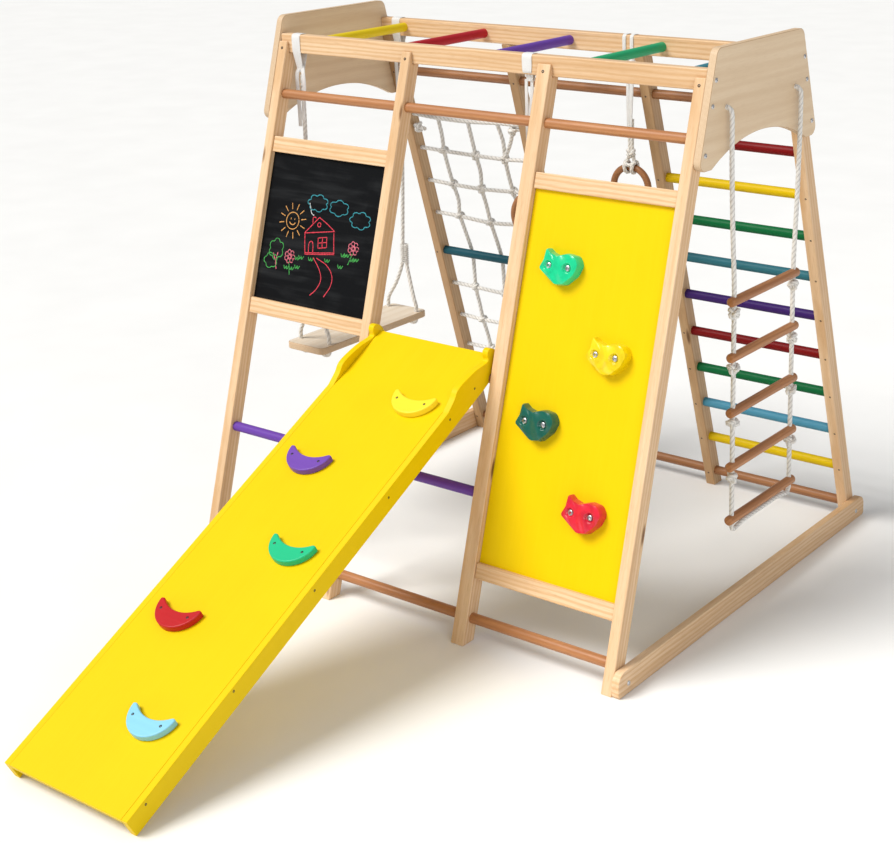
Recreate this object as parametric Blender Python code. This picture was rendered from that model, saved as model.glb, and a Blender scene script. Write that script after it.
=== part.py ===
"""Wooden indoor climbing frame: a leaning four-bay A-frame with a climbing wall, slide, chalkboard,
rung ladder, rope net, swing, two rings and a rope ladder.

Units are metres, +Z is up. X runs along the front of the frame, Y from front to back.
The design frame has X = 0 in the middle of the three bays and Y = 0 at the front feet; the empty
"climber" moves it so that the whole object stands centred over the origin.
"""

import math

import bmesh
import bpy
from mathutils import Matrix, Vector

# Frame
BAY = 0.450  # centre to centre of neighbouring posts
POST_X = [BAY * (i - 1.5) for i in range(4)]
POST_WIDTH = 0.030
WIDE_POST_WIDTH = 0.040  # the third front post carries the climbing panel's inner edge
FRONT_WIDTHS = [POST_WIDTH, POST_WIDTH, WIDE_POST_WIDTH, POST_WIDTH]
BACK_WIDTHS = [POST_WIDTH] * 4
POST_THICK = 0.043  # across the lean
LEAN = 0.294  # Y per metre of height
DEPTH = 1.300  # front feet to back feet
TONGUE_TOP = 1.412
RAIL_Z = (1.380, 1.432)
RAIL_Y = (0.4228, 0.4508)
MID_Y = DEPTH / 2

# End boards and base rails
BOARD_IN = POST_X[3] + POST_WIDTH / 2 + 0.0004
BOARD_THICK = 0.020
BOARD_TOP = 1.481
BOARD_TOP_ROUND = 0.024
BOARD_LOBE_Z = 1.197
BOARD_LOBE_ROUND = 0.022
ARCH_TOP = 1.255
ARCH_RADIUS = 0.510
ARCH_HALF = 0.238
ROPE_HOLE_Z = 1.337
ROPE_HOLE_Y = 0.174  # each side of the middle
BASE_THICK = 0.022
BASE_HEIGHT = 0.062
BASE_TAIL = DEPTH + 0.010

# Dowels
DOWEL_R = 0.0135
SOCKET_DEEP = 0.014
GAP = 0.0004  # clearance between touching pieces
SOCKET_R = DOWEL_R + 0.0006
BEYOND = 0.010  # how far a cutter reaches past the piece that it goes through
ROUND = 16  # sides of a dowel

BAR_Z = 1.407
BAR_STEP = 0.300
RUNG_TOP_Z = 1.143
RUNG_STEP = 0.1215

# Wall panels, measured along the leaning posts
LEAN_ANGLE = math.atan(LEAN)
PANEL_THICK = 0.009
PANEL_DEEP = 0.016  # panel face behind the posts' front faces
CROSS_RAIL_DEEP = (0.005, 0.036)
GROOVE = 0.006
CHALK_Z = (0.7215, 1.1157)
CLIMB_Z = (0.2065, 1.1157)
CHALK_RAIL = 0.0425
CLIMB_RAIL = 0.0395

# Climbing holds
HOLD_THICK = 0.028
HOLD_RIM = 0.006
HOLD_SLOPE = 0.008

# Slide
SLIDE_X = (POST_X[1] + POST_X[2]) / 2 - 0.0025
SLIDE_WIDTH = 0.398
SIDE_THICK = 0.018
DECK_THICK = 0.012
SIDE_TALL = 0.050
SLIDE_SLOPE = 0.520  # rise over run
SLIDE_ANGLE = math.atan(SLIDE_SLOPE)
SLIDE_FOOT_Y = -1.039
SLIDE_TOP_Y = 0.221
HOOK_Z = 0.640
SLIDE_LONG = (SLIDE_TOP_Y - SLIDE_FOOT_Y) / math.cos(SLIDE_ANGLE)
HOOK_SLOT_R = DOWEL_R + 0.0012
STEP_THICK = 0.018
STEP_SUNK = 0.003  # how far a foothold reaches into the deck
STEP_OUTER_R = 0.0665
STEP_INNER_R = 0.0875
STEP_BOTTOM = (-0.039, 0.008)  # lowest points of the outer and inner arcs
# Footholds: sideways from the slide's middle, and distance along it from its foot.
STEPS = [(0.075, 0.203), (-0.074, 0.456), (0.079, 0.706), (-0.071, 0.957), (0.088, 1.202)]

# Swing, rings, rope ladder and net
ROPE_R = 0.006
SWING_ROPE_R = 0.0055
SWING_X = -0.628
SWING_SEAT_Z = 0.516
SWING_SEAT_Y = (0.383, 0.857)
SEAT_WIDTH = 0.145
SEAT_THICK = 0.020
SEAT_ROUND = 0.020
SWING_LEG_Y = (0.430, 0.822)
SWING_LEG_X = 0.056
SWING_PIVOT_Z = 1.318
SWING_SPLIT_Z = 0.740
STRAP_Y = (0.437, 0.863)
RING_X = {"gym_ring_front": 0.163, "gym_ring_back": 0.191}
RING_Z = 1.010
RING_MAJOR = 0.0565
RING_MINOR = 0.0095
RING_PIVOT_Z = 1.366
HANGER_PAST = 0.005  # of a ring's rope above its pivot
LADDER_X = BOARD_IN + BOARD_THICK + 0.0165
LADDER_RUNG_Z = [0.856 - 0.1435 * i for i in range(5)]
LADDER_RUNG_LONG = 0.345
LADDER_RUNG_R = 0.0122
LADDER_ROPE_Y = 0.153
NET_ROWS = [1.128, 1.017, 0.908, 0.797, 0.548, 0.432, 0.322, 0.212]
NET_DROPS = [-0.118, 0.0, 0.118]
NET_ROPE_R = 0.0055
NET_SOCKET_R = NET_ROPE_R + 0.0006
NET_DROP_R = 0.0051
NET_DROP_SHIFT = 0.0013  # the drops lie a little behind the rows

ROPE_HOLE_R = ROPE_R + 0.0015
MOST_TURN = math.radians(20)  # of a rope between two of its points
CURVE_STEPS = 24  # points of a smooth route from one of its own points to the next

# Colours as (R, G, B), roughness
PINE = ((0.78, 0.56, 0.33), 0.5)
BEECH = ((0.48, 0.20, 0.09), 0.45)
PLY = ((0.72, 0.58, 0.42), 0.55)
YELLOW = ((0.93, 0.68, 0.01), 0.4)
BLACK = ((0.015, 0.016, 0.018), 0.6)
ROPE = ((0.72, 0.70, 0.66), 0.9)
RED = ((0.50, 0.01, 0.015), 0.3)
GREEN = ((0.01, 0.30, 0.10), 0.3)
BRIGHT_GREEN = ((0.0, 0.55, 0.25), 0.3)
DARK_GREEN = ((0.0, 0.10, 0.08), 0.3)
TEAL = ((0.04, 0.28, 0.36), 0.3)
PURPLE = ((0.16, 0.05, 0.36), 0.3)
LIGHT_BLUE = ((0.14, 0.45, 0.62), 0.3)

# Climbing holds: sideways from the panel's middle, height along it, colour
HOLDS = {
    "hold_bright_green": (-0.091, 0.980, BRIGHT_GREEN),
    "hold_yellow": (0.082, 0.787, YELLOW),
    "hold_dark_green": (-0.093, 0.592, DARK_GREEN),
    "hold_red": (0.080, 0.401, RED),
}

# Dowels across the bays: side, first post, last post, height, colour
DOWELS = {
    "front_upper_dowel": ("front", 0, 3, 1.268, BEECH),
    "front_middle_dowel": ("front", 0, 2, 0.361, PURPLE),
    "front_bottom_dowel": ("front", 0, 3, 0.063, BEECH),
    "slide_hook_dowel": ("front", 1, 2, HOOK_Z, BEECH),
    "back_upper_dowel": ("back", 0, 3, 1.268, BEECH),
    "net_dowel": ("back", 0, 1, 0.664, TEAL),
    "back_bottom_dowel": ("back", 0, 3, 0.048, BEECH),
}
RUNG_COLOURS = [RED, YELLOW, GREEN, TEAL, PURPLE, RED, GREEN, LIGHT_BLUE, YELLOW]
BAR_COLOURS = [YELLOW, RED, PURPLE, GREEN, TEAL]
for rung_index, rung_colour in enumerate(RUNG_COLOURS):
    rung_z = RUNG_TOP_Z - RUNG_STEP * rung_index
    DOWELS[f"ladder_rung_{rung_index + 1}"] = ("back", 2, 3, rung_z, rung_colour)


def clear_scene():
    for obj in list(bpy.data.objects):
        bpy.data.objects.remove(obj, do_unlink=True)


def empty(name, location, parent=None):
    obj = bpy.data.objects.new(name, None)
    obj.location = location
    obj.parent = parent
    bpy.context.scene.collection.objects.link(obj)
    return obj


MATERIALS = {}


def material(colour):
    if colour not in MATERIALS:
        (red, green, blue), roughness = colour
        made = bpy.data.materials.new(f"finish_{len(MATERIALS) + 1}")
        made.use_nodes = True
        shader = made.node_tree.nodes["Principled BSDF"]
        shader.inputs["Base Color"].default_value = (red, green, blue, 1)
        shader.inputs["Roughness"].default_value = roughness
        shader.inputs["Metallic"].default_value = 0
        MATERIALS[colour] = made
    return MATERIALS[colour]


def add(name, bm, colour, origin=(0, 0, 0), parent=None, smooth=False):
    """An object from a bmesh in the design frame, with its own origin at a point of that frame."""
    bmesh.ops.recalc_face_normals(bm, faces=bm.faces)
    bmesh.ops.translate(bm, verts=bm.verts, vec=-Vector(origin))
    mesh = bpy.data.meshes.new(name)
    bm.to_mesh(mesh)
    bm.free()
    if smooth:
        mesh.shade_smooth()
        mesh.set_sharp_from_angle(angle=math.radians(35))
    if colour:
        mesh.materials.append(material(colour))
    obj = bpy.data.objects.new(name, mesh)
    bpy.context.scene.collection.objects.link(obj)
    obj.parent = parent
    anchor = parent["design_place"] if parent and "design_place" in parent else (0, 0, 0)
    obj.location = Vector(origin) - Vector(anchor)
    return obj


def moving_root(name, place, frame_root):
    """An empty on a joint's axis, which its moving pieces are parented to."""
    root = empty(name, place, frame_root)
    root["design_place"] = place
    return root


def prism(outline, low, high, plane="yz"):
    """A bmesh: a flat outline pushed along the axis that it lies across."""
    bm = bmesh.new()

    def corner(a, b, along):
        return {"yz": (along, a, b), "xy": (a, b, along), "xz": (a, along, b)}[plane]

    face = bm.faces.new([bm.verts.new(corner(a, b, low)) for a, b in outline])
    pushed = bmesh.ops.extrude_face_region(bm, geom=[face])
    moved = [item for item in pushed["geom"] if isinstance(item, bmesh.types.BMVert)]
    bmesh.ops.translate(bm, verts=moved, vec=Vector(corner(0, 0, high)) - Vector(corner(0, 0, low)))
    return bm


def box(low, high):
    bm = bmesh.new()
    centre = (Vector(low) + Vector(high)) / 2
    size = Vector(high) - Vector(low)
    place = Matrix.Translation(centre) @ Matrix.Diagonal((*size, 1))
    bmesh.ops.create_cube(bm, size=1, matrix=place)
    return bm


def cylinder(start, end, radius, sides=ROUND, bm=None):
    bm = bm or bmesh.new()
    start, end = Vector(start), Vector(end)
    turn = Vector((0, 0, 1)).rotation_difference(end - start).to_matrix().to_4x4()
    place = Matrix.Translation((start + end) / 2) @ turn
    bmesh.ops.create_cone(
        bm,
        cap_ends=True,
        segments=sides,
        radius1=radius,
        radius2=radius,
        depth=(end - start).length,
        matrix=place,
    )
    return bm


def cut(obj, bm, name, operation="DIFFERENCE"):
    """Cuts a hidden cutter from an object, or joins a hidden helper to it."""
    helper = add(name, bm, None, parent=obj.parent)
    anchor = obj.parent["design_place"] if obj.parent and "design_place" in obj.parent else (0, 0, 0)
    helper.location = -Vector(anchor)
    helper.hide_render = True
    helper.display_type = "WIRE"
    boolean = obj.modifiers.new(name, "BOOLEAN")
    boolean.operation = operation
    boolean.object = helper
    boolean.solver = "EXACT"


def rounded(points, radii, steps=5):
    """The outline with each corner replaced by an arc of its own radius; 0 keeps it sharp."""
    outline = []
    count = len(points)
    for i, radius in enumerate(radii):
        here = Vector(points[i])
        before = Vector(points[i - 1])
        after = Vector(points[(i + 1) % count])
        if radius == 0:
            outline.append(tuple(here))
            continue
        back, ahead = (before - here).normalized(), (after - here).normalized()
        half = back.angle(ahead) / 2
        start = here + back * radius / math.tan(half)
        end = here + ahead * radius / math.tan(half)
        middle = here + (back + ahead).normalized() * radius / math.sin(half)
        for step in range(steps + 1):
            swept = (start - middle).lerp(end - middle, step / steps)
            outline.append(tuple(middle + swept.normalized() * radius))
    return outline


def smooth_route(points, spacing):
    """Points along a Catmull-Rom curve through the route's own points, closer together where it bends."""
    route = [Vector(point) for point in points]
    route = [route[0] * 2 - route[1], *route, route[-1] * 2 - route[-2]]
    dense = []
    for a, b, c, d in zip(route, route[1:], route[2:], route[3:]):
        square = 2 * a - 5 * b + 4 * c - d
        cube = 3 * b - a - 3 * c + d
        for step in range(CURVE_STEPS):
            t = step / CURVE_STEPS
            dense.append(0.5 * (2 * b + (c - a) * t + square * t**2 + cube * t**3))
    dense.append(route[-2])
    kept = [dense[0]]
    heading = dense[1] - dense[0]
    walked = 0.0
    for before, here, after in zip(dense, dense[1:], dense[2:]):
        walked += (here - before).length
        if walked >= spacing or (after - here).angle(heading) > MOST_TURN:
            kept.append(here)
            heading = after - here
            walked = 0.0
    kept.append(dense[-1])
    return kept


def rope(name, points, radius, parent, spacing):
    """A rope as a tube curve along a smooth route of the design frame."""
    anchor = Vector(parent["design_place"]) if "design_place" in parent else Vector()
    curve = bpy.data.curves.new(name, "CURVE")
    curve.dimensions = "3D"
    curve.bevel_depth = radius
    curve.bevel_resolution = 2
    curve.use_fill_caps = True
    curve.materials.append(material(ROPE))
    route = smooth_route(points, spacing)
    spline = curve.splines.new("POLY")
    spline.points.add(len(route) - 1)
    for knot, place in zip(spline.points, route):
        knot.co = (*(place - anchor), 1)
    obj = bpy.data.objects.new(name, curve)
    obj.parent = parent
    bpy.context.scene.collection.objects.link(obj)
    return obj


def front_y(z):
    """Middle of a leaning front post's thickness at a height."""
    return z * LEAN + POST_THICK / math.cos(LEAN_ANGLE) / 2


def side_y(side, z):
    return front_y(z) if side == "front" else DEPTH - front_y(z)


def lean_point(along, deep):
    """(y, z) of a point given along a front post from its foot, and behind its front face."""
    sine, cosine = math.sin(LEAN_ANGLE), math.cos(LEAN_ANGLE)
    return along * sine + deep * cosine, along * cosine - deep * sine


def post_outline(side):
    """Side view of a post: a leaning bar whose top laps in front of the rail as a thin tongue."""
    deep = POST_THICK / math.cos(LEAN_ANGLE)
    shoulder = RAIL_Z[0] - GAP
    face = RAIL_Y[0] - GAP
    outline = [
        (0, 0),
        (deep, 0),
        (shoulder * LEAN + deep, shoulder),
        (face, shoulder),
        (face, TONGUE_TOP),
        (TONGUE_TOP * LEAN, TONGUE_TOP),
    ]
    return outline if side == "front" else [(DEPTH - y, z) for y, z in reversed(outline)]


def holes_in_post(side, index, width):
    """Cutters for every dowel that ends in this post or passes through it."""
    bm = bmesh.new()
    centre, half = POST_X[index], width / 2
    for dowel_side, first, last, z, _ in DOWELS.values():
        if dowel_side != side or not first <= index <= last:
            continue
        left = centre - half - BEYOND if index > first else centre + half - SOCKET_DEEP
        right = centre + half + BEYOND if index < last else centre - half + SOCKET_DEEP
        y = side_y(side, z)
        cylinder((left, y, z), (right, y, z), SOCKET_R, bm=bm)
    if side == "back" and index < 2:
        for z in NET_ROWS:
            y = side_y(side, z)
            inner = centre + half if index == 0 else centre - half
            reach = SOCKET_DEEP if index == 0 else -SOCKET_DEEP
            ends = (inner - reach, y, z), (inner + reach, y, z)
            cylinder(*ends, NET_SOCKET_R, sides=10, bm=bm)
    return bm


def build_posts(root):
    for side, widths in (("front", FRONT_WIDTHS), ("back", BACK_WIDTHS)):
        for index, width in enumerate(widths):
            centre = POST_X[index]
            name = f"{side}_post_{index + 1}"
            bar = prism(post_outline(side), centre - width / 2, centre + width / 2)
            post = add(name, bar, PINE, parent=root)
            cut(post, holes_in_post(side, index, width), f"{name}_sockets")


def build_dowels(root):
    for name, (side, first, last, z, colour) in DOWELS.items():
        widths = FRONT_WIDTHS if side == "front" else BACK_WIDTHS
        left = POST_X[first] + widths[first] / 2 - SOCKET_DEEP + GAP
        right = POST_X[last] - widths[last] / 2 + SOCKET_DEEP - GAP
        y = side_y(side, z)
        add(name, cylinder((left, y, z), (right, y, z), DOWEL_R), colour, parent=root, smooth=True)


def build_top(root):
    """The two top rails and the monkey bars that are let into them."""
    half_long = BOARD_IN - GAP
    inner = RAIL_Y[1]
    back_y = DEPTH - RAIL_Y[1], DEPTH - RAIL_Y[0]
    for name, (near, far) in (("front_top_rail", RAIL_Y), ("back_top_rail", back_y)):
        bar = box((-half_long, near, RAIL_Z[0]), (half_long, far, RAIL_Z[1]))
        rail = add(name, bar, PINE, parent=root)
        sockets = bmesh.new()
        for place in range(len(BAR_COLOURS)):
            x = BAR_STEP * (place - 2)
            start = inner - SOCKET_DEEP
            cylinder((x, start, BAR_Z), (x, DEPTH - start, BAR_Z), SOCKET_R, bm=sockets)
        cut(rail, sockets, f"{name}_sockets")
    for place, colour in enumerate(BAR_COLOURS):
        x = BAR_STEP * (place - 2)
        start = inner - SOCKET_DEEP + GAP
        ends = (x, start, BAR_Z), (x, DEPTH - start, BAR_Z)
        add(f"monkey_bar_{place + 1}", cylinder(*ends, DOWEL_R), colour, parent=root, smooth=True)


def end_board_outline():
    """Front half of an end board in (y, z), then its mirror: slanted edge, lobe, arched underside."""
    arch_middle = ARCH_TOP - ARCH_RADIUS
    steps = 7
    reach = math.asin(ARCH_HALF / ARCH_RADIUS)
    arch = []
    for step in range(steps + 1):
        turn = -reach + reach * step / steps
        y = MID_Y + ARCH_RADIUS * math.sin(turn)
        arch.append((y, arch_middle + ARCH_RADIUS * math.cos(turn)))
    corners = [
        (MID_Y, BOARD_TOP),
        (BOARD_TOP * LEAN, BOARD_TOP),
        (BOARD_LOBE_Z * LEAN, BOARD_LOBE_Z),
        arch[0],
    ]
    half = rounded(corners, [0, BOARD_TOP_ROUND, BOARD_LOBE_ROUND, 0])[:-1] + arch
    return half + [(DEPTH - y, z) for y, z in reversed(half[1:-1])]


def build_ends(root):
    """The plywood end boards, and the base rails on the outside of the outer posts' feet."""
    outline = end_board_outline()
    for name, sign in (("end_board_left", -1), ("end_board_right", 1)):
        span = sorted((sign * BOARD_IN, sign * (BOARD_IN + BOARD_THICK)))
        board = add(name, prism(outline, *span), PLY, parent=root)
        if sign == 1:
            holes = bmesh.new()
            for y in (MID_Y - ROPE_HOLE_Y, MID_Y + ROPE_HOLE_Y):
                ends = (span[0] - BEYOND, y, ROPE_HOLE_Z), (span[1] + BEYOND, y, ROPE_HOLE_Z)
                cylinder(*ends, ROPE_HOLE_R, bm=holes)
            cut(board, holes, "rope_holes")
    corners = [(0, 0), (BASE_TAIL, 0), (BASE_TAIL, BASE_HEIGHT), (0, BASE_HEIGHT)]
    profile = rounded(corners, [0.010, 0.010, 0.028, 0.028])
    for name, sign in (("base_rail_left", -1), ("base_rail_right", 1)):
        span = sorted((sign * BOARD_IN, sign * (BOARD_IN + BASE_THICK)))
        add(name, prism(profile, *span), PINE, parent=root)


def cross_rail_outline(low, high, groove_at):
    """Section of a rail between two posts, with a groove for the panel's edge at its top or bottom."""
    near, far = CROSS_RAIL_DEEP
    groove_near = PANEL_DEEP - GAP
    groove_far = PANEL_DEEP + PANEL_THICK + GAP
    edge = low if groove_at == "bottom" else high
    inside = low + GROOVE + GAP if groove_at == "bottom" else high - GROOVE - GAP
    notch = [(edge, groove_near), (inside, groove_near), (inside, groove_far), (edge, groove_far)]
    if groove_at == "bottom":
        corners = [(low, near), *notch, (low, far), (high, far), (high, near)]
    else:
        corners = [(low, near), (low, far), (high, far), *reversed(notch), (high, near)]
    return [lean_point(along, deep) for along, deep in corners]


def build_wall_panel(root, names, span, z_range, rail_tall, colour):
    """A panel held in grooved rails between two front posts."""
    low, high = (z / math.cos(LEAN_ANGLE) for z in z_range)
    tall = rail_tall / math.cos(LEAN_ANGLE)
    left, right = span[0] + GAP, span[1] - GAP
    panel_name, top_name, bottom_name = names
    sheet = [
        lean_point(along, deep)
        for along, deep in (
            (low - GROOVE, PANEL_DEEP),
            (low - GROOVE, PANEL_DEEP + PANEL_THICK),
            (high + GROOVE, PANEL_DEEP + PANEL_THICK),
            (high + GROOVE, PANEL_DEEP),
        )
    ]
    add(panel_name, prism(sheet, left, right), colour, parent=root)
    over = cross_rail_outline(high, high + tall, "bottom")
    under = cross_rail_outline(low - tall, low, "top")
    add(top_name, prism(over, left, right), PINE, parent=root)
    add(bottom_name, prism(under, left, right), PINE, parent=root)


def hold_outline():
    """An apple lying on its side: a round body, a pointed end and a leaf-shaped stem."""
    corners = [
        (-0.042, 0.044),
        (-0.026, 0.033),
        (-0.006, 0.027),
        (0.022, 0.037),
        (0.050, 0.033),
        (0.063, 0.012),
        (0.052, -0.016),
        (0.024, -0.042),
        (-0.002, -0.046),
        (-0.030, -0.028),
        (-0.058, -0.010),
        (-0.046, 0.014),
    ]
    radii = [0.003, 0.008, 0.010, 0.022, 0.018, 0.018, 0.025, 0.012, 0.015, 0.040, 0.007, 0.008]
    return rounded(corners, radii, steps=2)


def build_holds(root):
    """Moulded holds on the climbing panel, each with a sloping rim round its flat face."""
    middle = (POST_X[2] + WIDE_POST_WIDTH / 2 + POST_X[3] - POST_WIDTH / 2) / 2
    for name, (sideways, along, colour) in HOLDS.items():
        bm = prism(hold_outline(), 0, HOLD_THICK, plane="xy")
        front = [face for face in bm.faces if face.calc_center_median().z > HOLD_THICK * 0.99]
        rim = list(front[0].verts)
        bmesh.ops.inset_region(bm, faces=front, thickness=HOLD_RIM, depth=0)
        for vert in rim:
            vert.co.z -= HOLD_SLOPE
        y, z = lean_point(along, PANEL_DEEP - GAP)
        stand = Matrix.Rotation(math.pi / 2 - LEAN_ANGLE, 4, "X")
        place = Matrix.Translation((middle + sideways, y, z)) @ stand
        bmesh.ops.transform(bm, matrix=place, verts=bm.verts)
        add(name, bm, colour, parent=root, smooth=True)


def slide_point(along, above):
    """(y, z) of a point along the slide from its foot, above its sliding surface."""
    sine, cosine = math.sin(SLIDE_ANGLE), math.cos(SLIDE_ANGLE)
    foot_z = SIDE_TALL * cosine
    return SLIDE_FOOT_Y + along * cosine - above * sine, foot_z + along * sine + above * cosine


def slide_side_outline(hook):
    """Side view of a slide's side: flush with the deck, with a hump and a horn at the top."""
    long = SLIDE_LONG
    top = [
        (0, 0),
        (long - 0.200, 0),
        (long - 0.178, 0.012),
        (long - 0.158, 0.023),
        (long - 0.130, 0.024),
        (long - 0.080, 0.017),
        (long - 0.046, 0.007),
        (long - 0.030, 0.003),
        (long - 0.0235, 0.008),
        (long - 0.022, 0.018),
        (long - 0.014, 0.026),
        (long - 0.002, 0.024),
        (long + 0.009, 0.010),
        (long + 0.013, -0.012),
        (long + 0.013, -0.050),
    ]
    outline = [slide_point(along, above) for along, above in top]
    # The hook: a round slot, open downwards, over the dowel between the posts.
    axis_y, axis_z = hook
    outline.append(slide_point(long + 0.010, -0.062))
    steps = 8
    for step in range(steps + 1):
        turn = SLIDE_ANGLE + math.pi * step / steps
        y = axis_y + HOOK_SLOT_R * math.cos(turn)
        outline.append((y, axis_z + HOOK_SLOT_R * math.sin(turn)))
    outline.append(slide_point(long - 0.075, -SIDE_TALL))
    outline.append(slide_point(0, -SIDE_TALL))
    return outline


def crescent_outline(steps=8):
    """A crescent with its tips up: a deep outer arc, and a shallow inner one back between the tips."""
    outline = []
    outer_middle = STEP_BOTTOM[0] + STEP_OUTER_R
    inner_middle = STEP_BOTTOM[1] + STEP_INNER_R
    for step in range(steps + 1):
        turn = math.radians(180 + 180 * step / steps)
        along = outer_middle + STEP_OUTER_R * math.sin(turn)
        outline.append((STEP_OUTER_R * math.cos(turn), along))
    for step in range(steps + 1):
        turn = math.radians(311 - 82 * step / steps)
        along = inner_middle + STEP_INNER_R * math.sin(turn)
        outline.append((STEP_INNER_R * math.cos(turn), along))
    return outline


def crescent(x, along):
    """A foothold standing on the deck, as a bmesh."""
    bm = prism(crescent_outline(), -STEP_SUNK, STEP_THICK, plane="xy")
    for vert in bm.verts:
        y, z = slide_point(along + vert.co.y, vert.co.z)
        vert.co = (x + vert.co.x, y, z)
    return bm


def build_slide(frame_root):
    """A ramp with crescent footholds, its hooked sides hung on the dowel between two posts."""
    hook = side_y("front", HOOK_Z), HOOK_Z
    root = moving_root("slide_pivot", (SLIDE_X, *hook), frame_root)
    half = SLIDE_WIDTH / 2
    outline = slide_side_outline(hook)
    sides = ("slide_side_left", SLIDE_X - half), ("slide_side_right", SLIDE_X + half - SIDE_THICK)
    for name, left in sides:
        add(name, prism(outline, left, left + SIDE_THICK), YELLOW, (SLIDE_X, *hook), root)
    corners = (0, -DECK_THICK), (SLIDE_LONG, -DECK_THICK), (SLIDE_LONG, 0), (0, 0)
    inner = half - SIDE_THICK - GAP
    sheet = prism([slide_point(*corner) for corner in corners], SLIDE_X - inner, SLIDE_X + inner)
    deck = add("slide_deck", sheet, YELLOW, (SLIDE_X, *hook), root)
    for step, (sideways, along) in enumerate(STEPS):
        cut(deck, crescent(SLIDE_X + sideways, along), f"foothold_{step + 1}", "UNION")


def build_swing(frame_root):
    """A plank seat on two ropes, each split in two above the seat and passing under it."""
    place = (SWING_X, MID_Y, SWING_PIVOT_Z)
    root = moving_root("swing_pivot", place, frame_root)
    near, far = SWING_SEAT_Y
    left, right = SWING_X - SEAT_WIDTH / 2, SWING_X + SEAT_WIDTH / 2
    corners = [(left, near), (right, near), (right, far), (left, far)]
    plan = rounded(corners, [SEAT_ROUND] * 4, 3)
    plank = prism(plan, SWING_SEAT_Z, SWING_SEAT_Z + SEAT_THICK, "xy")
    seat = add("swing_seat", plank, PLY, place, root)
    holes = bmesh.new()
    for y in SWING_LEG_Y:
        for x in (SWING_X - SWING_LEG_X, SWING_X + SWING_LEG_X):
            above = SWING_SEAT_Z + SEAT_THICK + BEYOND
            ends = (x, y, SWING_SEAT_Z - BEYOND), (x, y, above)
            cylinder(*ends, ROPE_HOLE_R, sides=12, bm=holes)
    cut(seat, holes, "seat_rope_holes")
    under = SWING_SEAT_Z - ROPE_R - 0.002
    top = SWING_SEAT_Z + SEAT_THICK
    for name, leg_y, strap_y in zip(("swing_rope_front", "swing_rope_back"), SWING_LEG_Y, STRAP_Y):
        left, right = SWING_X - SWING_LEG_X, SWING_X + SWING_LEG_X
        split_y = leg_y + (strap_y - leg_y) * 0.35
        route = [
            (SWING_X, strap_y, SWING_PIVOT_Z),
            (SWING_X, strap_y + (split_y - strap_y) * 0.3, 1.12),
            (SWING_X, strap_y + (split_y - strap_y) * 0.7, 0.90),
            (SWING_X - 0.001, split_y, SWING_SPLIT_Z),
            (SWING_X - 0.004, split_y, 0.685),
            (SWING_X - 0.024, (split_y + leg_y) / 2, 0.622),
            (left + 0.007, leg_y, 0.576),
            (left, leg_y, top + 0.020),
            (left, leg_y, SWING_SEAT_Z + 0.010),
            (left, leg_y, SWING_SEAT_Z - 0.004),
            (left + 0.006, leg_y, under - 0.0055),
            (left + 0.018, leg_y, under - 0.0075),
            (left + 0.035, leg_y, under - 0.0030),
            (SWING_X, leg_y, under - 0.0015),
            (right - 0.035, leg_y, under - 0.0030),
            (right - 0.018, leg_y, under - 0.0075),
            (right - 0.006, leg_y, under - 0.0055),
            (right, leg_y, SWING_SEAT_Z - 0.004),
            (right, leg_y, SWING_SEAT_Z + 0.010),
            (right, leg_y, top + 0.020),
            (right - 0.007, leg_y, 0.576),
            (SWING_X + 0.030, (split_y + leg_y) / 2, 0.626),
            (SWING_X + 0.0115, split_y, 0.685),
            (SWING_X + 0.0130, split_y, SWING_SPLIT_Z),
        ]
        rope(name, route, SWING_ROPE_R, root, 0.030)


def build_rings(frame_root):
    """Wooden rings, each with the rope that ties it to the strap on its rail."""
    for (name, middle), y in zip(RING_X.items(), STRAP_Y):
        place = (middle, y, RING_PIVOT_Z)
        root = moving_root(f"{name}_pivot", place, frame_root)
        bm = bmesh.new()
        around, across = 28, 10
        loops = []
        for i in range(around):
            turn = 2 * math.pi * i / around
            loop = []
            for j in range(across):
                roll = 2 * math.pi * j / across
                reach = RING_MAJOR + RING_MINOR * math.cos(roll)
                x = middle + reach * math.cos(turn)
                z = RING_Z + reach * math.sin(turn)
                loop.append(bm.verts.new((x, y + RING_MINOR * math.sin(roll), z)))
            loops.append(loop)
        for i in range(around):
            for j in range(across):
                k, m = (i + 1) % around, (j + 1) % across
                bm.faces.new((loops[i][j], loops[k][j], loops[k][m], loops[i][m]))
        ring = add(name, bm, BEECH, place, root, smooth=True)
        ends = (middle, y, RING_Z + RING_MAJOR), (middle, y, RING_PIVOT_Z + HANGER_PAST)
        cut(ring, cylinder(*ends, ROPE_R, sides=10), f"{name}_hanger", "UNION")


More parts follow.
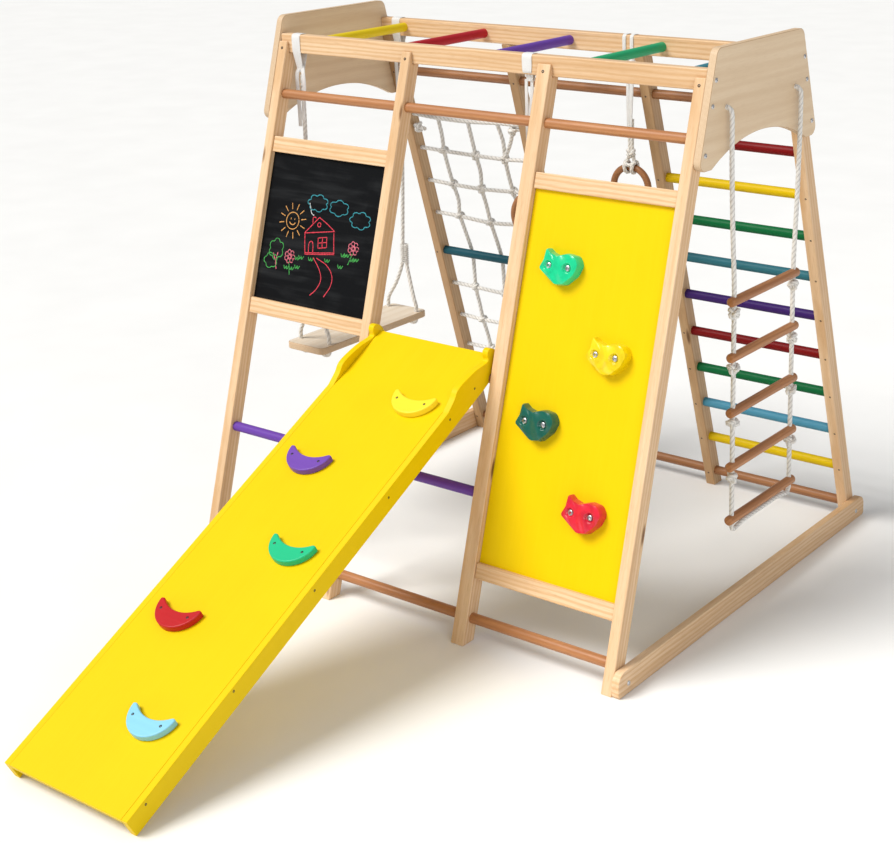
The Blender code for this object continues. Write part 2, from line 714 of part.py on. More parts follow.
def build_rope_ladder(frame_root):
    """One rope out of the end board, down through the rungs, under the last one and up again."""
    start_x = BOARD_IN + BOARD_THICK + 0.0045
    place = (start_x, MID_Y, ROPE_HOLE_Z)
    root = moving_root("rope_ladder_pivot", place, frame_root)
    for i, z in enumerate(LADDER_RUNG_Z):
        half = LADDER_RUNG_LONG / 2
        ends = (LADDER_X, MID_Y - half, z), (LADDER_X, MID_Y + half, z)
        turned = cylinder(*ends, LADDER_RUNG_R)
        rung = add(f"rope_ladder_rung_{i + 1}", turned, BEECH, place, root, smooth=True)
        holes = bmesh.new()
        for y in (MID_Y - LADDER_ROPE_Y, MID_Y + LADDER_ROPE_Y):
            reach = LADDER_RUNG_R + BEYOND
            ends = (LADDER_X, y, z - reach), (LADDER_X, y, z + reach)
            cylinder(*ends, ROPE_HOLE_R, sides=12, bm=holes)
        cut(rung, holes, f"rung_{i + 1}_rope_holes")
    low = LADDER_RUNG_Z[-1]
    half_route = [
        (start_x, ROPE_HOLE_Y, ROPE_HOLE_Z),
        (start_x + 0.0095, ROPE_HOLE_Y, ROPE_HOLE_Z - 0.008),
        (LADDER_X, ROPE_HOLE_Y, ROPE_HOLE_Z - 0.030),
        (LADDER_X, ROPE_HOLE_Y - 0.002, 1.200),
        (LADDER_X, ROPE_HOLE_Y - 0.009, 1.050),
        (LADDER_X, LADDER_ROPE_Y + 0.003, 0.930),
        *[(LADDER_X, LADDER_ROPE_Y, z) for z in LADDER_RUNG_Z],
        (LADDER_X, LADDER_ROPE_Y, low - 0.0165),
        (LADDER_X, LADDER_ROPE_Y - 0.0045, low - 0.0265),
        (LADDER_X, LADDER_ROPE_Y - 0.0150, low - 0.0300),
        (LADDER_X, LADDER_ROPE_Y - 0.0350, low - 0.0265),
        (LADDER_X, LADDER_ROPE_Y - 0.0700, low - 0.0225),
    ]
    down = [(x, MID_Y - y, z) for x, y, z in half_route]
    up = [(x, MID_Y + y, z) for x, y, z in reversed(half_route)]
    middle = [(LADDER_X, MID_Y, low - LADDER_RUNG_R - ROPE_R - 0.004)]
    rope("rope_ladder_rope", down + middle + up, ROPE_R, root, 0.036)


def tube(points, radius, sides):
    """A bmesh tube through points of one plane across X, mitred at each point."""
    bm = bmesh.new()
    points = [Vector(point) for point in points]
    side = Vector((1, 0, 0))
    loops = []
    for i, point in enumerate(points):
        along = (points[min(i + 1, len(points) - 1)] - points[max(i - 1, 0)]).normalized()
        across = along.cross(side).normalized()
        loop = []
        for j in range(sides):
            turn = 2 * math.pi * (j + 0.5) / sides
            loop.append(bm.verts.new(point + (side * math.cos(turn) + across * math.sin(turn)) * radius))
        loops.append(loop)
    for loop, following in zip(loops, loops[1:]):
        for j in range(sides):
            k = (j + 1) % sides
            bm.faces.new((loop[j], loop[k], following[k], following[j]))
    bm.faces.new(loops[0])
    bm.faces.new(loops[-1])
    return bm


def build_net(root):
    """A rope net: rows let into the two left back posts, and drops that pass behind the dowel."""
    left = POST_X[0] + POST_WIDTH / 2 - SOCKET_DEEP + 0.002
    right = POST_X[1] - POST_WIDTH / 2 + SOCKET_DEEP - 0.002
    middle = (left + right) / 2
    dowel_z = DOWELS["net_dowel"][3]
    behind = DOWEL_R + NET_ROPE_R + 0.002
    rows = []
    for z in NET_ROWS:
        y = side_y("back", z)
        rows.append(cylinder((left, y, z), (right, y, z), NET_ROPE_R, sides=8))
    net = add("climbing_net", rows[0], ROPE, parent=root, smooth=True)
    for i, row in enumerate(rows[1:]):
        cut(net, row, f"net_row_{i + 2}", "UNION")
    beside_dowel = [dowel_z + step for step in (0.022, 0, -0.022)]
    past_dowel = [dowel_z + step for step in (0.060, -0.060)]
    ends = [NET_ROWS[0] + 0.004, NET_ROWS[-1] - 0.009]
    stops = sorted([*ends, *NET_ROWS[1:-1], *past_dowel, *beside_dowel], reverse=True)
    for i, drop in enumerate(NET_DROPS):
        route = []
        for z in stops:
            shift = behind if z in beside_dowel else NET_DROP_SHIFT
            route.append((middle + drop, side_y("back", z) + shift, z))
        cut(net, tube(route, NET_DROP_R, 9), f"net_drop_{i + 1}", "UNION")


def main():
    clear_scene()
    overall_front = slide_point(0, 0)[0]
    half_wide = BOARD_IN + BASE_THICK
    ladder_edge = LADDER_X + LADDER_RUNG_R
    centring = (half_wide - ladder_edge) / 2, -(overall_front + BASE_TAIL) / 2, 0
    root = empty("climber", centring)
    build_posts(root)
    build_dowels(root)
    build_top(root)
    build_ends(root)
    chalk_span = (POST_X[0] + POST_WIDTH / 2, POST_X[1] - POST_WIDTH / 2)
    chalk_names = ("chalkboard", "chalkboard_top_rail", "chalkboard_bottom_rail")
    build_wall_panel(root, chalk_names, chalk_span, CHALK_Z, CHALK_RAIL, BLACK)
    climb_span = (POST_X[2] + WIDE_POST_WIDTH / 2, POST_X[3] - POST_WIDTH / 2)
    climb_names = ("climbing_panel", "climbing_panel_top_rail", "climbing_panel_bottom_rail")
    build_wall_panel(root, climb_names, climb_span, CLIMB_Z, CLIMB_RAIL, YELLOW)
    build_holds(root)
    build_slide(root)
    build_swing(root)
    build_rings(root)
    build_rope_ladder(root)
    build_net(root)


main()
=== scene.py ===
"""The look of the wooden climbing frame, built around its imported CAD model."""

import random
from math import asin, atan, cos, hypot, pi, radians, sin, sqrt, tan

import bmesh
import bpy
from mathutils import Matrix, Vector


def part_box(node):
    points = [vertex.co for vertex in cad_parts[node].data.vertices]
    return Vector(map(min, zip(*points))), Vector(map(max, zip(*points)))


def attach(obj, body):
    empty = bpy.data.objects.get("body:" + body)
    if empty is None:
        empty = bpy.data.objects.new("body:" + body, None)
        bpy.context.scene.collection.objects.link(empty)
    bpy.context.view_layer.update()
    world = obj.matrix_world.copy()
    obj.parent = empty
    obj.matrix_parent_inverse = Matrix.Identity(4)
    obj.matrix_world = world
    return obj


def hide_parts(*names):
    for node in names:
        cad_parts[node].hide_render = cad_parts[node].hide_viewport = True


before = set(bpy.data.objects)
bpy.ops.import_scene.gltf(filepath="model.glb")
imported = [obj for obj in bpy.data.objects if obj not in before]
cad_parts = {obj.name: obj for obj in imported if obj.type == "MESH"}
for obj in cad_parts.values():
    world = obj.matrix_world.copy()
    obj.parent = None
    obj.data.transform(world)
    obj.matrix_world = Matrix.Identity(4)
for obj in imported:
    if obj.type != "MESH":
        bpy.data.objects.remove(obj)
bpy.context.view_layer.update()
rng = random.Random(7)

# The design frame has X = 0 in the middle of the three bays and Y = 0 at the front feet.
rail_low, rail_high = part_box("front_top_rail")
foot_low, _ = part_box("front_post_1")
SHIFT = Vector(((rail_low[0] + rail_high[0]) / 2, foot_low[1], 0))

# Sizes of the frame, in metres
BAY = 0.45
POST_X = [BAY * (i - 1.5) for i in range(4)]
FRONT_WIDTHS = [0.03, 0.03, 0.04, 0.03]
BACK_WIDTHS = [0.03] * 4
POST_THICK = 0.043
LEAN = 0.294
LEAN_ANGLE = atan(LEAN)
DEPTH = 1.3
MID_Y = DEPTH / 2
TONGUE_TOP = 1.412
RAIL_Z = (1.38, 1.432)
RAIL_Y = (0.4228, 0.4508)
BACK_RAIL_Y = (DEPTH - RAIL_Y[1], DEPTH - RAIL_Y[0])
BOARD_IN = POST_X[3] + 0.0154
BOARD_THICK = 0.02
BOARD_TOP = 1.481
BOARD_LOBE_Z = 1.197
ARCH_TOP = 1.255
ARCH_RADIUS = 0.51
ARCH_HALF = 0.238
ROPE_HOLE_Z = 1.337
ROPE_HOLE_Y = 0.174
BASE_THICK = 0.022
BASE_HEIGHT = 0.062
DOWEL_R = 0.0135
BAR_Z = 1.407
BAR_PITCH = 0.3
TOP_RUNG_Z = 1.143
RUNG_PITCH = 0.1215
TONGUE_BOLT_Z = 1.394
PANEL_THICK = 0.009
PANEL_DEEP = 0.016
CROSS_RAIL_DEEP = (0.005, 0.036)
CHALK_Z = (0.7215, 1.1157)
CLIMB_Z = (0.2065, 1.1157)
SLIDE_X = (POST_X[1] + POST_X[2]) / 2 - 0.0025
SLIDE_WIDTH = 0.398
SIDE_THICK = 0.018
SIDE_TALL = 0.05
DECK_THICK = 0.012
SLIDE_ANGLE = atan(0.52)
SLIDE_FOOT_Y = -1.039
SLIDE_TOP_Y = 0.221
SLIDE_LONG = (SLIDE_TOP_Y - SLIDE_FOOT_Y) / cos(SLIDE_ANGLE)
HOOK_Z = 0.64
HOOK_SLOT_R = 0.0147
ROPE_R = 0.006
SWING_X = -0.628
SEAT_Z = 0.516
SEAT_Y = (0.383, 0.857)
SEAT_WIDTH = 0.145
SEAT_THICK = 0.02
LEG_Y = (0.43, 0.822)
LEG_X = 0.056
SWING_PIVOT_Z = 1.318
STRAP_Y = (0.437, 0.863)
RING_X = {"front": 0.163, "back": 0.191}
RING_Z = 1.01
RING_MAJOR = 0.0565
RING_MINOR = 0.0095
RING_PIVOT_Z = 1.366
LADDER_X = BOARD_IN + BOARD_THICK + 0.0165
LADDER_RUNG_Z = [0.856 - 0.1435 * i for i in range(5)]
LADDER_RUNG_LONG = 0.345
LADDER_RUNG_R = 0.0122
LADDER_ROPE_Y = 0.153
NET_ROWS = [1.128, 1.017, 0.908, 0.797, 0.548, 0.432, 0.322, 0.212]
NET_DROPS = [-0.57, -0.452, -0.336]
NET_DOWEL_Z = 0.664

GAP = 0.0004
SOCKET = DOWEL_R + 0.0001
BOLT_R = 0.0062
LAID_R = ROPE_R + 0.0005
RING_ROPE_R = 0.0056
SPLIT_SHARE = 0.35
SPLIT_Z = 0.74
PLY_PITCH = 0.0029
STEP_TALL = 0.0178
HOLD_BOLT = 0.028
FLOOR_REACH = 14
CAMERA_PLACE = Vector((2.6788, -2.9707, 2.0255))

X_AXIS, Y_AXIS, Z_AXIS = Vector((1, 0, 0)), Vector((0, 1, 0)), Vector((0, 0, 1))
UP_FRONT = Vector((0, sin(LEAN_ANGLE), cos(LEAN_ANGLE)))
UP_BACK = Vector((0, -sin(LEAN_ANGLE), cos(LEAN_ANGLE)))
IN_FRONT = Vector((0, cos(LEAN_ANGLE), -sin(LEAN_ANGLE)))
IN_BACK = Vector((0, -cos(LEAN_ANGLE), -sin(LEAN_ANGLE)))
UP_FROM_SLIDE = Vector((0, -sin(SLIDE_ANGLE), cos(SLIDE_ANGLE)))
ALONG_SLIDE = Vector((0, cos(SLIDE_ANGLE), sin(SLIDE_ANGLE)))


# ---------------------------------------------------------------- camera and light


def placed(name, data):
    """An object in the scene that holds the data."""
    obj = bpy.data.objects.new(name, data)
    bpy.context.scene.collection.objects.link(obj)
    return obj


def make_camera():
    """Looks down across the front right corner, so that the slide comes towards the viewer."""
    data = bpy.data.cameras.new("camera")
    data.sensor_width = 36
    data.lens = 67.92
    data.shift_x = -0.089
    data.shift_y = -0.1848
    forward = Vector((-0.5771, 0.7755, -0.2561)).normalized()
    right = forward.cross(Z_AXIS).normalized()
    level = Matrix((right, right.cross(forward), -forward)).transposed()
    camera = placed("camera", data)
    roll = Matrix.Rotation(radians(-1.13), 4, "Z")
    camera.matrix_world = Matrix.Translation(CAMERA_PLACE + SHIFT) @ level.to_4x4() @ roll
    bpy.context.scene.camera = camera


def make_light(name, place, aim, kind, size, power, tint=(1, 1, 1)):
    """A soft light: size is a disc's width in metres, or a distant light's width in the sky in degrees."""
    data = bpy.data.lights.new(name, kind)
    if kind == "AREA":
        data.shape = "DISK"
        data.size = size
    else:
        data.angle = radians(size)
    data.energy = power
    data.color = tint
    lamp = placed(name, data)
    lamp.location = place
    lamp.rotation_euler = (Vector(aim) - Vector(place)).to_track_quat("-Z", "Y").to_euler()


def make_studio():
    world = bpy.data.worlds.new("studio")
    world.use_nodes = True
    background = world.node_tree.nodes["Background"]
    background.inputs["Color"].default_value = (0.97, 0.98, 1.0, 1)
    background.inputs["Strength"].default_value = 0.375
    bpy.context.scene.world = world
    bpy.context.scene.view_settings.view_transform = "Standard"
    make_light("key", (-2.1, -2.9, 4.9), (0, 0, 0.6), "SUN", 30, 3.25, (1.0, 0.985, 0.955))
    make_light("fill", (4.2, -2.6, 2.6), (0, 0, 0.6), "AREA", 3.0, 62)
    floor = bpy.data.meshes.new("floor")
    corners = [(x * FLOOR_REACH, y * FLOOR_REACH, 0) for x, y in ((-1, -1), (1, -1), (1, 1), (-1, 1))]
    floor.from_pydata(corners, [], [(0, 1, 2, 3)])
    look = Look("floor_white")
    mottle = look.noise(look.object_place(), 3.0, 2)
    look.colour(look.ramp(mottle, [(0.3, (0.89, 0.89, 0.88)), (0.7, (0.92, 0.92, 0.91))]))
    look.shader.inputs["Roughness"].default_value = 0.55
    floor.materials.append(look.material)
    placed("floor", floor)


# ---------------------------------------------------------------- materials


class Look:
    """A node material with its Principled shader, and short ways to add the nodes that these looks use."""

    def __init__(self, name, **sockets):
        self.material = bpy.data.materials.new(name)
        self.material.use_nodes = True
        self.tree = self.material.node_tree
        self.shader = self.tree.nodes["Principled BSDF"]
        for socket, value in sockets.items():
            self.shader.inputs[socket.replace("_", " ")].default_value = value

    def put(self, socket, value):
        """Joins another node's output to the socket, or sets a constant."""
        if isinstance(value, bpy.types.NodeSocket):
            self.tree.links.new(value, socket)
        else:
            socket.default_value = (*value, 1) if socket.type == "RGBA" else value

    def node(self, kind, inputs=(), **settings):
        made = self.tree.nodes.new(kind)
        for name, value in settings.items():
            setattr(made, name, value)
        for name, value in dict(inputs).items():
            self.put(made.inputs[name], value)
        return made

    def place(self):
        """Each piece's own coordinates, in metres, with the grain or strand along the first one."""
        return self.node("ShaderNodeAttribute", attribute_name="grain").outputs["Vector"]

    def object_place(self):
        return self.node("ShaderNodeTexCoord").outputs["Object"]

    def stretched(self, *scale):
        return self.node("ShaderNodeMapping", {"Vector": self.place(), "Scale": scale}).outputs[0]

    def noise(self, place, scale, detail=4, distortion=0.0):
        inputs = {"Vector": place, "Scale": scale, "Detail": detail, "Distortion": distortion}
        return self.node("ShaderNodeTexNoise", inputs).outputs["Fac"]

    def streaks(self, scale, detail, distortion=0.0):
        """Noise with its own scale along, across and through the piece."""
        return self.noise(self.stretched(*scale), 1.0, detail, distortion)

    def wave(self, place, scale, distortion, detail=2, detail_scale=1.0, direction="Y"):
        inputs = {"Vector": place, "Scale": scale, "Distortion": distortion, "Detail": detail}
        inputs["Detail Scale"] = detail_scale
        return self.node("ShaderNodeTexWave", inputs, bands_direction=direction).outputs["Fac"]

    def ramp(self, factor, stops):
        made = self.node("ShaderNodeValToRGB", {"Fac": factor})
        elements = made.color_ramp.elements
        while len(elements) < len(stops):
            elements.new(0.5)
        for element, (at, colour) in zip(elements, stops):
            element.position = at
            element.color = (*colour, 1) if isinstance(colour, tuple) else (colour, colour, colour, 1)
        return made.outputs["Color"]

    def tint(self, tone, factor, start, end, strength, colour):
        """The tone, going over to the colour by up to strength as the factor goes from start to end."""
        made = self.node("ShaderNodeMix", data_type="RGBA")
        share = self.ramp(factor, [(start, 0.0), (end, strength)])
        for index, value in ((0, share), (6, tone), (7, colour)):
            self.put(made.inputs[index], value)
        return made.outputs[2]

    def maths(self, operation, first, second=0.0):
        made = self.node("ShaderNodeMath", operation=operation)
        for socket, value in zip(made.inputs, (first, second)):
            self.put(socket, value)
        return made.outputs[0]

    def colour(self, socket):
        self.put(self.shader.inputs["Base Color"], socket)

    def roughness(self, factor, low, high):
        made = self.node("ShaderNodeMapRange", {"Value": factor, "To Min": low, "To Max": high})
        self.put(self.shader.inputs["Roughness"], made.outputs[0])

    def bump(self, height, strength, distance):
        made = self.node("ShaderNodeBump", {"Height": height, "Strength": strength, "Distance": distance})
        self.put(self.shader.inputs["Normal"], made.outputs[0])


def scaled(colour, factor, lift=0.0):
    return tuple(min(1.0, channel * factor + lift) for channel in colour)


def bare_wood(name, light, mid, dark, knots, ring_scale):
    """Varnished wood: growth rings, fine streaks along the grain, pores and, in pine, knots."""
    look = Look(name, Coat_Weight=0.05, Coat_Roughness=0.3, Specular_IOR_Level=0.35)
    rings = look.wave(look.stretched(0.16, 1.0, 0.55), ring_scale, 5.0, 3, 0.8)
    streaks = look.streaks((2.2, 70, 70), 6)
    pores = look.streaks((30, 700, 700), 2)
    tone = look.tint(light, rings, 0.35, 0.95, 0.75, mid)
    tone = look.tint(tone, streaks, 0.42, 0.72, 0.75, mid)
    tone = look.tint(tone, look.streaks((0.9, 9, 9), 3), 0.45, 0.75, 0.45, dark)
    tone = look.tint(tone, pores, 0.52, 0.72, 0.35, dark)
    if knots:
        cells = look.node("ShaderNodeTexVoronoi", {"Vector": look.stretched(2.6, 11, 11), "Scale": 1.0})
        near = look.ramp(cells.outputs["Distance"], [(0.0, 1.0), (knots * 0.5, 0.9), (knots, 0.0)])
        tone = look.tint(tone, near, 0.0, 1.0, 1.0, (dark[0] * 0.42, dark[1] * 0.34, dark[2] * 0.26))
    look.colour(tone)
    look.roughness(streaks, 0.36, 0.54)
    look.bump(look.maths("ADD", streaks, pores), 0.16, 0.0006)
    return look.material


def painted_wood(name, colour, gloss=0.32, mottle=0.1, sheen=0.28):
    """Satin paint on wood, with the grain telegraphing faintly through it, and slight wear."""
    look = Look(name, Coat_Weight=0.03, Coat_Roughness=0.25, Specular_IOR_Level=sheen)
    grain = look.streaks((5, 150, 150), 4)
    scuffs = look.streaks((60, 220, 220), 5, 0.6)
    pale = scaled(colour, 1 + mottle * 0.35, 0.003)
    tone = look.tint(scaled(colour, 1 - mottle), look.noise(look.place(), 7.0, 3), 0.3, 0.7, 1.0, colour)
    tone = look.tint(tone, grain, 0.45, 0.8, 0.55, pale)
    look.colour(look.tint(tone, scuffs, 0.68, 0.78, 0.22, pale))
    look.roughness(scuffs, gloss - 0.04, gloss + 0.16)
    look.bump(grain, 0.2, 0.0005)
    return look.material


def ply_edge(name, light, dark):
    """The layered edge of plywood: thin plies across the sheet's thickness, the third coordinate."""
    look = Look(name, Roughness=0.55)
    apart = look.node("ShaderNodeSeparateXYZ", {"Vector": look.place()})
    wobble = look.maths("MULTIPLY", look.streaks((18, 18, 0), 2), 0.0004)
    height = look.maths("ADD", apart.outputs["Z"], wobble)
    layer = look.maths("SINE", look.maths("MULTIPLY", height, 2 * pi / PLY_PITCH))
    fibres = look.streaks((60, 60, 1400), 4)
    tone = look.tint(dark, layer, 0.3, 0.62, 1.0, light)
    look.colour(look.tint(tone, fibres, 0.4, 0.8, 0.4, dark))
    look.bump(fibres, 0.25, 0.0005)
    return look.material


def plastic(name, colour):
    """Moulded glossy resin with a fine speckle and a faint orange-peel surface."""
    look = Look(name, Coat_Weight=0.35, Coat_Roughness=0.08)
    place = look.object_place()
    swirl = look.noise(place, 26, 4, 1.2)
    tone = look.tint(scaled(colour, 0.78), swirl, 0.35, 0.65, 1.0, colour)
    look.colour(look.tint(tone, look.noise(place, 900, 2), 0.55, 0.75, 0.5, scaled(colour, 1.12, 0.015)))
    look.roughness(swirl, 0.16, 0.3)
    look.bump(look.noise(place, 210, 3), 0.1, 0.0004)
    return look.material


def metal(name, colour, rough):
    """Zinc-plated or blackened steel with small stains."""
    look = Look(name, Metallic=1.0)
    stains = look.noise(look.object_place(), 320, 4)
    look.colour(look.tint(scaled(colour, 0.72), stains, 0.4, 0.7, 1.0, colour))
    look.roughness(stains, rough - 0.06, rough + 0.12)
    look.bump(stains, 0.08, 0.0003)
    return look.material


def rope_look(name, colour, shade):
    """Cotton rope: fine fibres along each strand, dirt in blotches, and painted shade in the grooves between
    strands.
    """
    look = Look(name, Roughness=0.88, Sheen_Weight=0.35, Sheen_Roughness=0.5)
    yarns = look.streaks((90, 900, 900), 4)
    groove = look.node("ShaderNodeAttribute", attribute_name="groove").outputs["Fac"]
    tone = look.tint(colour, yarns, 0.35, 0.7, 0.8, shade)
    tone = look.tint(tone, look.streaks((14, 60, 60), 3), 0.5, 0.8, 0.35, shade)
    # Painted shade: darker where the groove attribute marks the grooves between strands.
    look.colour(look.tint(tone, groove, 0.35, 1.0, 0.55, scaled(shade, 0.5)))
    look.bump(yarns, 0.45, 0.0008)
    return look.material


def webbing_look(name, colour, shade):
    """Flat woven webbing: ribs along its length, crossed by weft picks."""
    look = Look(name, Roughness=0.8, Sheen_Weight=0.3, Sheen_Roughness=0.4)
    place = look.place()
    warp, weft = look.wave(place, 380, 0.3), look.wave(place, 300, 0.3, direction="X")
    weave = look.maths("MULTIPLY", warp, weft)
    tone = look.tint(shade, weave, 0.1, 0.6, 1.0, colour)
    look.colour(look.tint(tone, look.streaks((20, 60, 60), 4), 0.5, 0.85, 0.3, shade))
    look.bump(weave, 0.5, 0.0006)
    return look.material


def slate_look(name):
    """Matt chalkboard paint with smears of wiped chalk dust."""
    look = Look(name, Specular_IOR_Level=0.07)
    grit = look.noise(look.place(), 1500, 2)
    dust = look.maths("MULTIPLY", look.streaks((5, 9, 9), 5, 1.4), look.streaks((3, 60, 60), 4, 0.6))
    tone = look.tint((0.0035, 0.004, 0.005), dust, 0.22, 0.5, 0.075, (0.22, 0.23, 0.24))
    look.colour(look.tint(tone, grit, 0.6, 0.8, 0.12, (0.035, 0.035, 0.04)))
    look.roughness(dust, 0.55, 0.85)
    look.bump(grit, 0.2, 0.0003)
    return look.material


def chalk_look(name, colour):
    """A chalk line: broken by the board's tooth."""
    look = Look(name, Roughness=0.95)
    grit = look.noise(look.object_place(), 700, 3)
    look.colour(look.tint(scaled(colour, 0.3, 0.01), grit, 0.38, 0.55, 1.0, colour))
    look.bump(grit, 0.3, 0.0003)
    return look.material


WOODS = {
    "pine": ((0.8, 0.57, 0.355), (0.66, 0.4, 0.195), (0.46, 0.25, 0.1), 0.085, 26),
    # beech darkened as painted shade, for the back dowels and the rings
    "beech_painted_shade": ((0.34, 0.15, 0.06), (0.26, 0.105, 0.038), (0.16, 0.06, 0.02), 0, 34),
    # pine darkened as painted shade, for the first three back posts
    "pine_painted_shade": ((0.56, 0.375, 0.205), (0.45, 0.265, 0.125), (0.31, 0.165, 0.065), 0.085, 26),
    "beech": ((0.5, 0.225, 0.09), (0.38, 0.155, 0.056), (0.24, 0.088, 0.03), 0, 34),
    "birch_ply": ((0.76, 0.59, 0.4), (0.7, 0.52, 0.335), (0.6, 0.42, 0.25), 0, 9),
    "seat_ply": ((0.8, 0.71, 0.59), (0.72, 0.61, 0.47), (0.6, 0.47, 0.33), 0, 9),
}
WOOD = {name: bare_wood(name, *facts) for name, facts in WOODS.items()}
PINE, BEECH_PAINTED_SHADE, PINE_PAINTED_SHADE, BEECH, BIRCH, SEAT_PLY = WOOD.values()
BIRCH_EDGE = ply_edge("birch_edge", (0.8, 0.63, 0.44), (0.52, 0.35, 0.2))
PAINTS = {
    "yellow": ((0.8, 0.555, 0.0), 0.4, 0.04, 0.12),
    "bar_yellow": ((0.8, 0.6, 0.005), 0.36, 0.08, 0.2),
    "bar_red": ((0.46, 0.008, 0.018), 0.36, 0.08, 0.2),
    "bar_purple": ((0.14, 0.05, 0.37), 0.36, 0.08, 0.2),
    "bar_green": ((0.012, 0.37, 0.15), 0.36, 0.08, 0.2),
    "bar_teal": ((0.03, 0.22, 0.3), 0.36, 0.08, 0.2),
    # From here to light_blue: the ladder rungs' paints and the net dowel's teal, each a bar colour darkened
    # as painted shade.
    "red": ((0.19, 0.003, 0.004), 0.42, 0.1, 0.14),
    "yellow_rung": ((0.68, 0.47, 0.0), 0.42, 0.1, 0.16),
    "green": ((0.001, 0.13, 0.038), 0.42, 0.1, 0.14),
    "teal": ((0.03, 0.155, 0.2), 0.42, 0.1, 0.14),
    "teal_painted_shade": ((0.01, 0.08, 0.11), 0.42, 0.1, 0.14),
    "purple": ((0.045, 0.014, 0.14), 0.42, 0.1, 0.14),
    "light_blue": ((0.07, 0.27, 0.4), 0.42, 0.1, 0.16),
    "step_light_blue": ((0.25, 0.6, 0.8), 0.3),
    "step_red": ((0.5, 0.008, 0.012), 0.3),
    "step_green": ((0.012, 0.5, 0.225), 0.3),
    "step_purple": ((0.165, 0.065, 0.4), 0.3),
    "step_yellow": ((0.94, 0.72, 0.03), 0.3),
}
PAINT = {name: painted_wood(f"{name}_paint", *facts) for name, facts in PAINTS.items()}
RESIN_COLOURS = {
    "hold_bright_green": (0.0, 0.62, 0.27),
    "hold_yellow": (0.86, 0.64, 0.0),
    "hold_dark_green": (0.0, 0.105, 0.072),
    "hold_red": (0.7, 0.01, 0.035),
}
RESIN = {name: plastic(f"{name}_resin", colour) for name, colour in RESIN_COLOURS.items()}
ZINC = metal("zinc", (0.72, 0.72, 0.74), 0.28)
DARK_STEEL = metal("dark_steel", (0.075, 0.065, 0.06), 0.42)
ROPE = rope_look("cotton_rope", (0.86, 0.84, 0.8), (0.72, 0.69, 0.64))
WEBBING = webbing_look("webbing", (0.88, 0.88, 0.87), (0.7, 0.7, 0.69))
SLATE = slate_look("slate")
CHALK_COLOURS = {
    "orange": (0.75, 0.36, 0.1),
    "blue": (0.03, 0.3, 0.36),
    "red": (0.78, 0.045, 0.08),
    "white": (0.75, 0.75, 0.75),
    "green": (0.05, 0.38, 0.07),
    "pink": (0.72, 0.16, 0.22),
}
CHALK = {name: chalk_look(f"chalk_{name}", colour) for name, colour in CHALK_COLOURS.items()}


# ---------------------------------------------------------------- mesh helpers


def front_y(z):
    return z * LEAN + POST_THICK / cos(LEAN_ANGLE) / 2


def side_y(side, z):
    return front_y(z) if side == "front" else DEPTH - front_y(z)


def lean_point(along, deep):
    """(y, z) of a point along a front post from its foot, and behind its front face."""
    sine, cosine = sin(LEAN_ANGLE), cos(LEAN_ANGLE)
    return along * sine + deep * cosine, along * cosine - deep * sine


def slide_point(along, above):
    """(y, z) of a point along the slide from its foot, above its sliding surface."""
    sine, cosine = sin(SLIDE_ANGLE), cos(SLIDE_ANGLE)
    return SLIDE_FOOT_Y + along * cosine - above * sine, SIDE_TALL * cosine + along * sine + above * cosine


def rounded(points, radii, steps=5):
    """The outline with each corner replaced by an arc of its own radius; 0 keeps it sharp."""
    outline = []
    count = len(points)
    for i, radius in enumerate(radii):
        here, before, after = Vector(points[i]), Vector(points[i - 1]), Vector(points[(i + 1) % count])
        if radius == 0:
            outline.append(tuple(here))
            continue
        back, ahead = (before - here).normalized(), (after - here).normalized()
        half = back.angle(ahead) / 2
        start, end = here + back * radius / tan(half), here + ahead * radius / tan(half)
        middle = here + (back + ahead).normalized() * radius / sin(half)
        for step in range(steps + 1):
            swept = (start - middle).lerp(end - middle, step / steps)
            outline.append(tuple(middle + swept.normalized() * radius))
    return outline


def catmull(points, spacing, closed=False):
    """Evenly spaced points along a smooth curve through the given ones."""
    route = [Vector(point) for point in points]
    if closed:
        route = [route[-1], *route, route[0], route[1]]
    else:
        route = [route[0] * 2 - route[1], *route, route[-1] * 2 - route[-2]]
    dense = []
    for a, b, c, d in zip(route, route[1:], route[2:], route[3:]):
        for step in range(20):
            t = step / 20
            bend, twist = 2 * a - 5 * b + 4 * c - d, 3 * b - a - 3 * c + d
            dense.append(0.5 * (2 * b + (c - a) * t + bend * t**2 + twist * t**3))
    dense.append(route[-2])
    total = sum((q - p).length for p, q in zip(dense, dense[1:]))
    count = max(4, round(total / spacing))
    even = [dense[0]]
    walked, target = 0.0, total / count
    for p, q in zip(dense, dense[1:]):
        length = (q - p).length
        while walked + length >= target - 1e-9 and len(even) < count:
            even.append(p.lerp(q, (target - walked) / length))
            target += total / count
        walked += length
    if not closed:
        even.append(dense[-1])
    return even


def write_grain(mesh, along, normal):
    """Stores each point's own coordinates: first along the grain, third through the sheet's thickness."""
    along, normal = Vector(along).normalized(), Vector(normal).normalized()
    across = normal.cross(along)
    offset = Vector((rng.uniform(0, 9), rng.uniform(0, 9), 0))
    values = []
    for vert in mesh.vertices:
        values += [vert.co.dot(along) + offset.x, vert.co.dot(across) + offset.y, vert.co.dot(normal)]
    mesh.attributes.new("grain", "FLOAT_VECTOR", "POINT").data.foreach_set("vector", values)


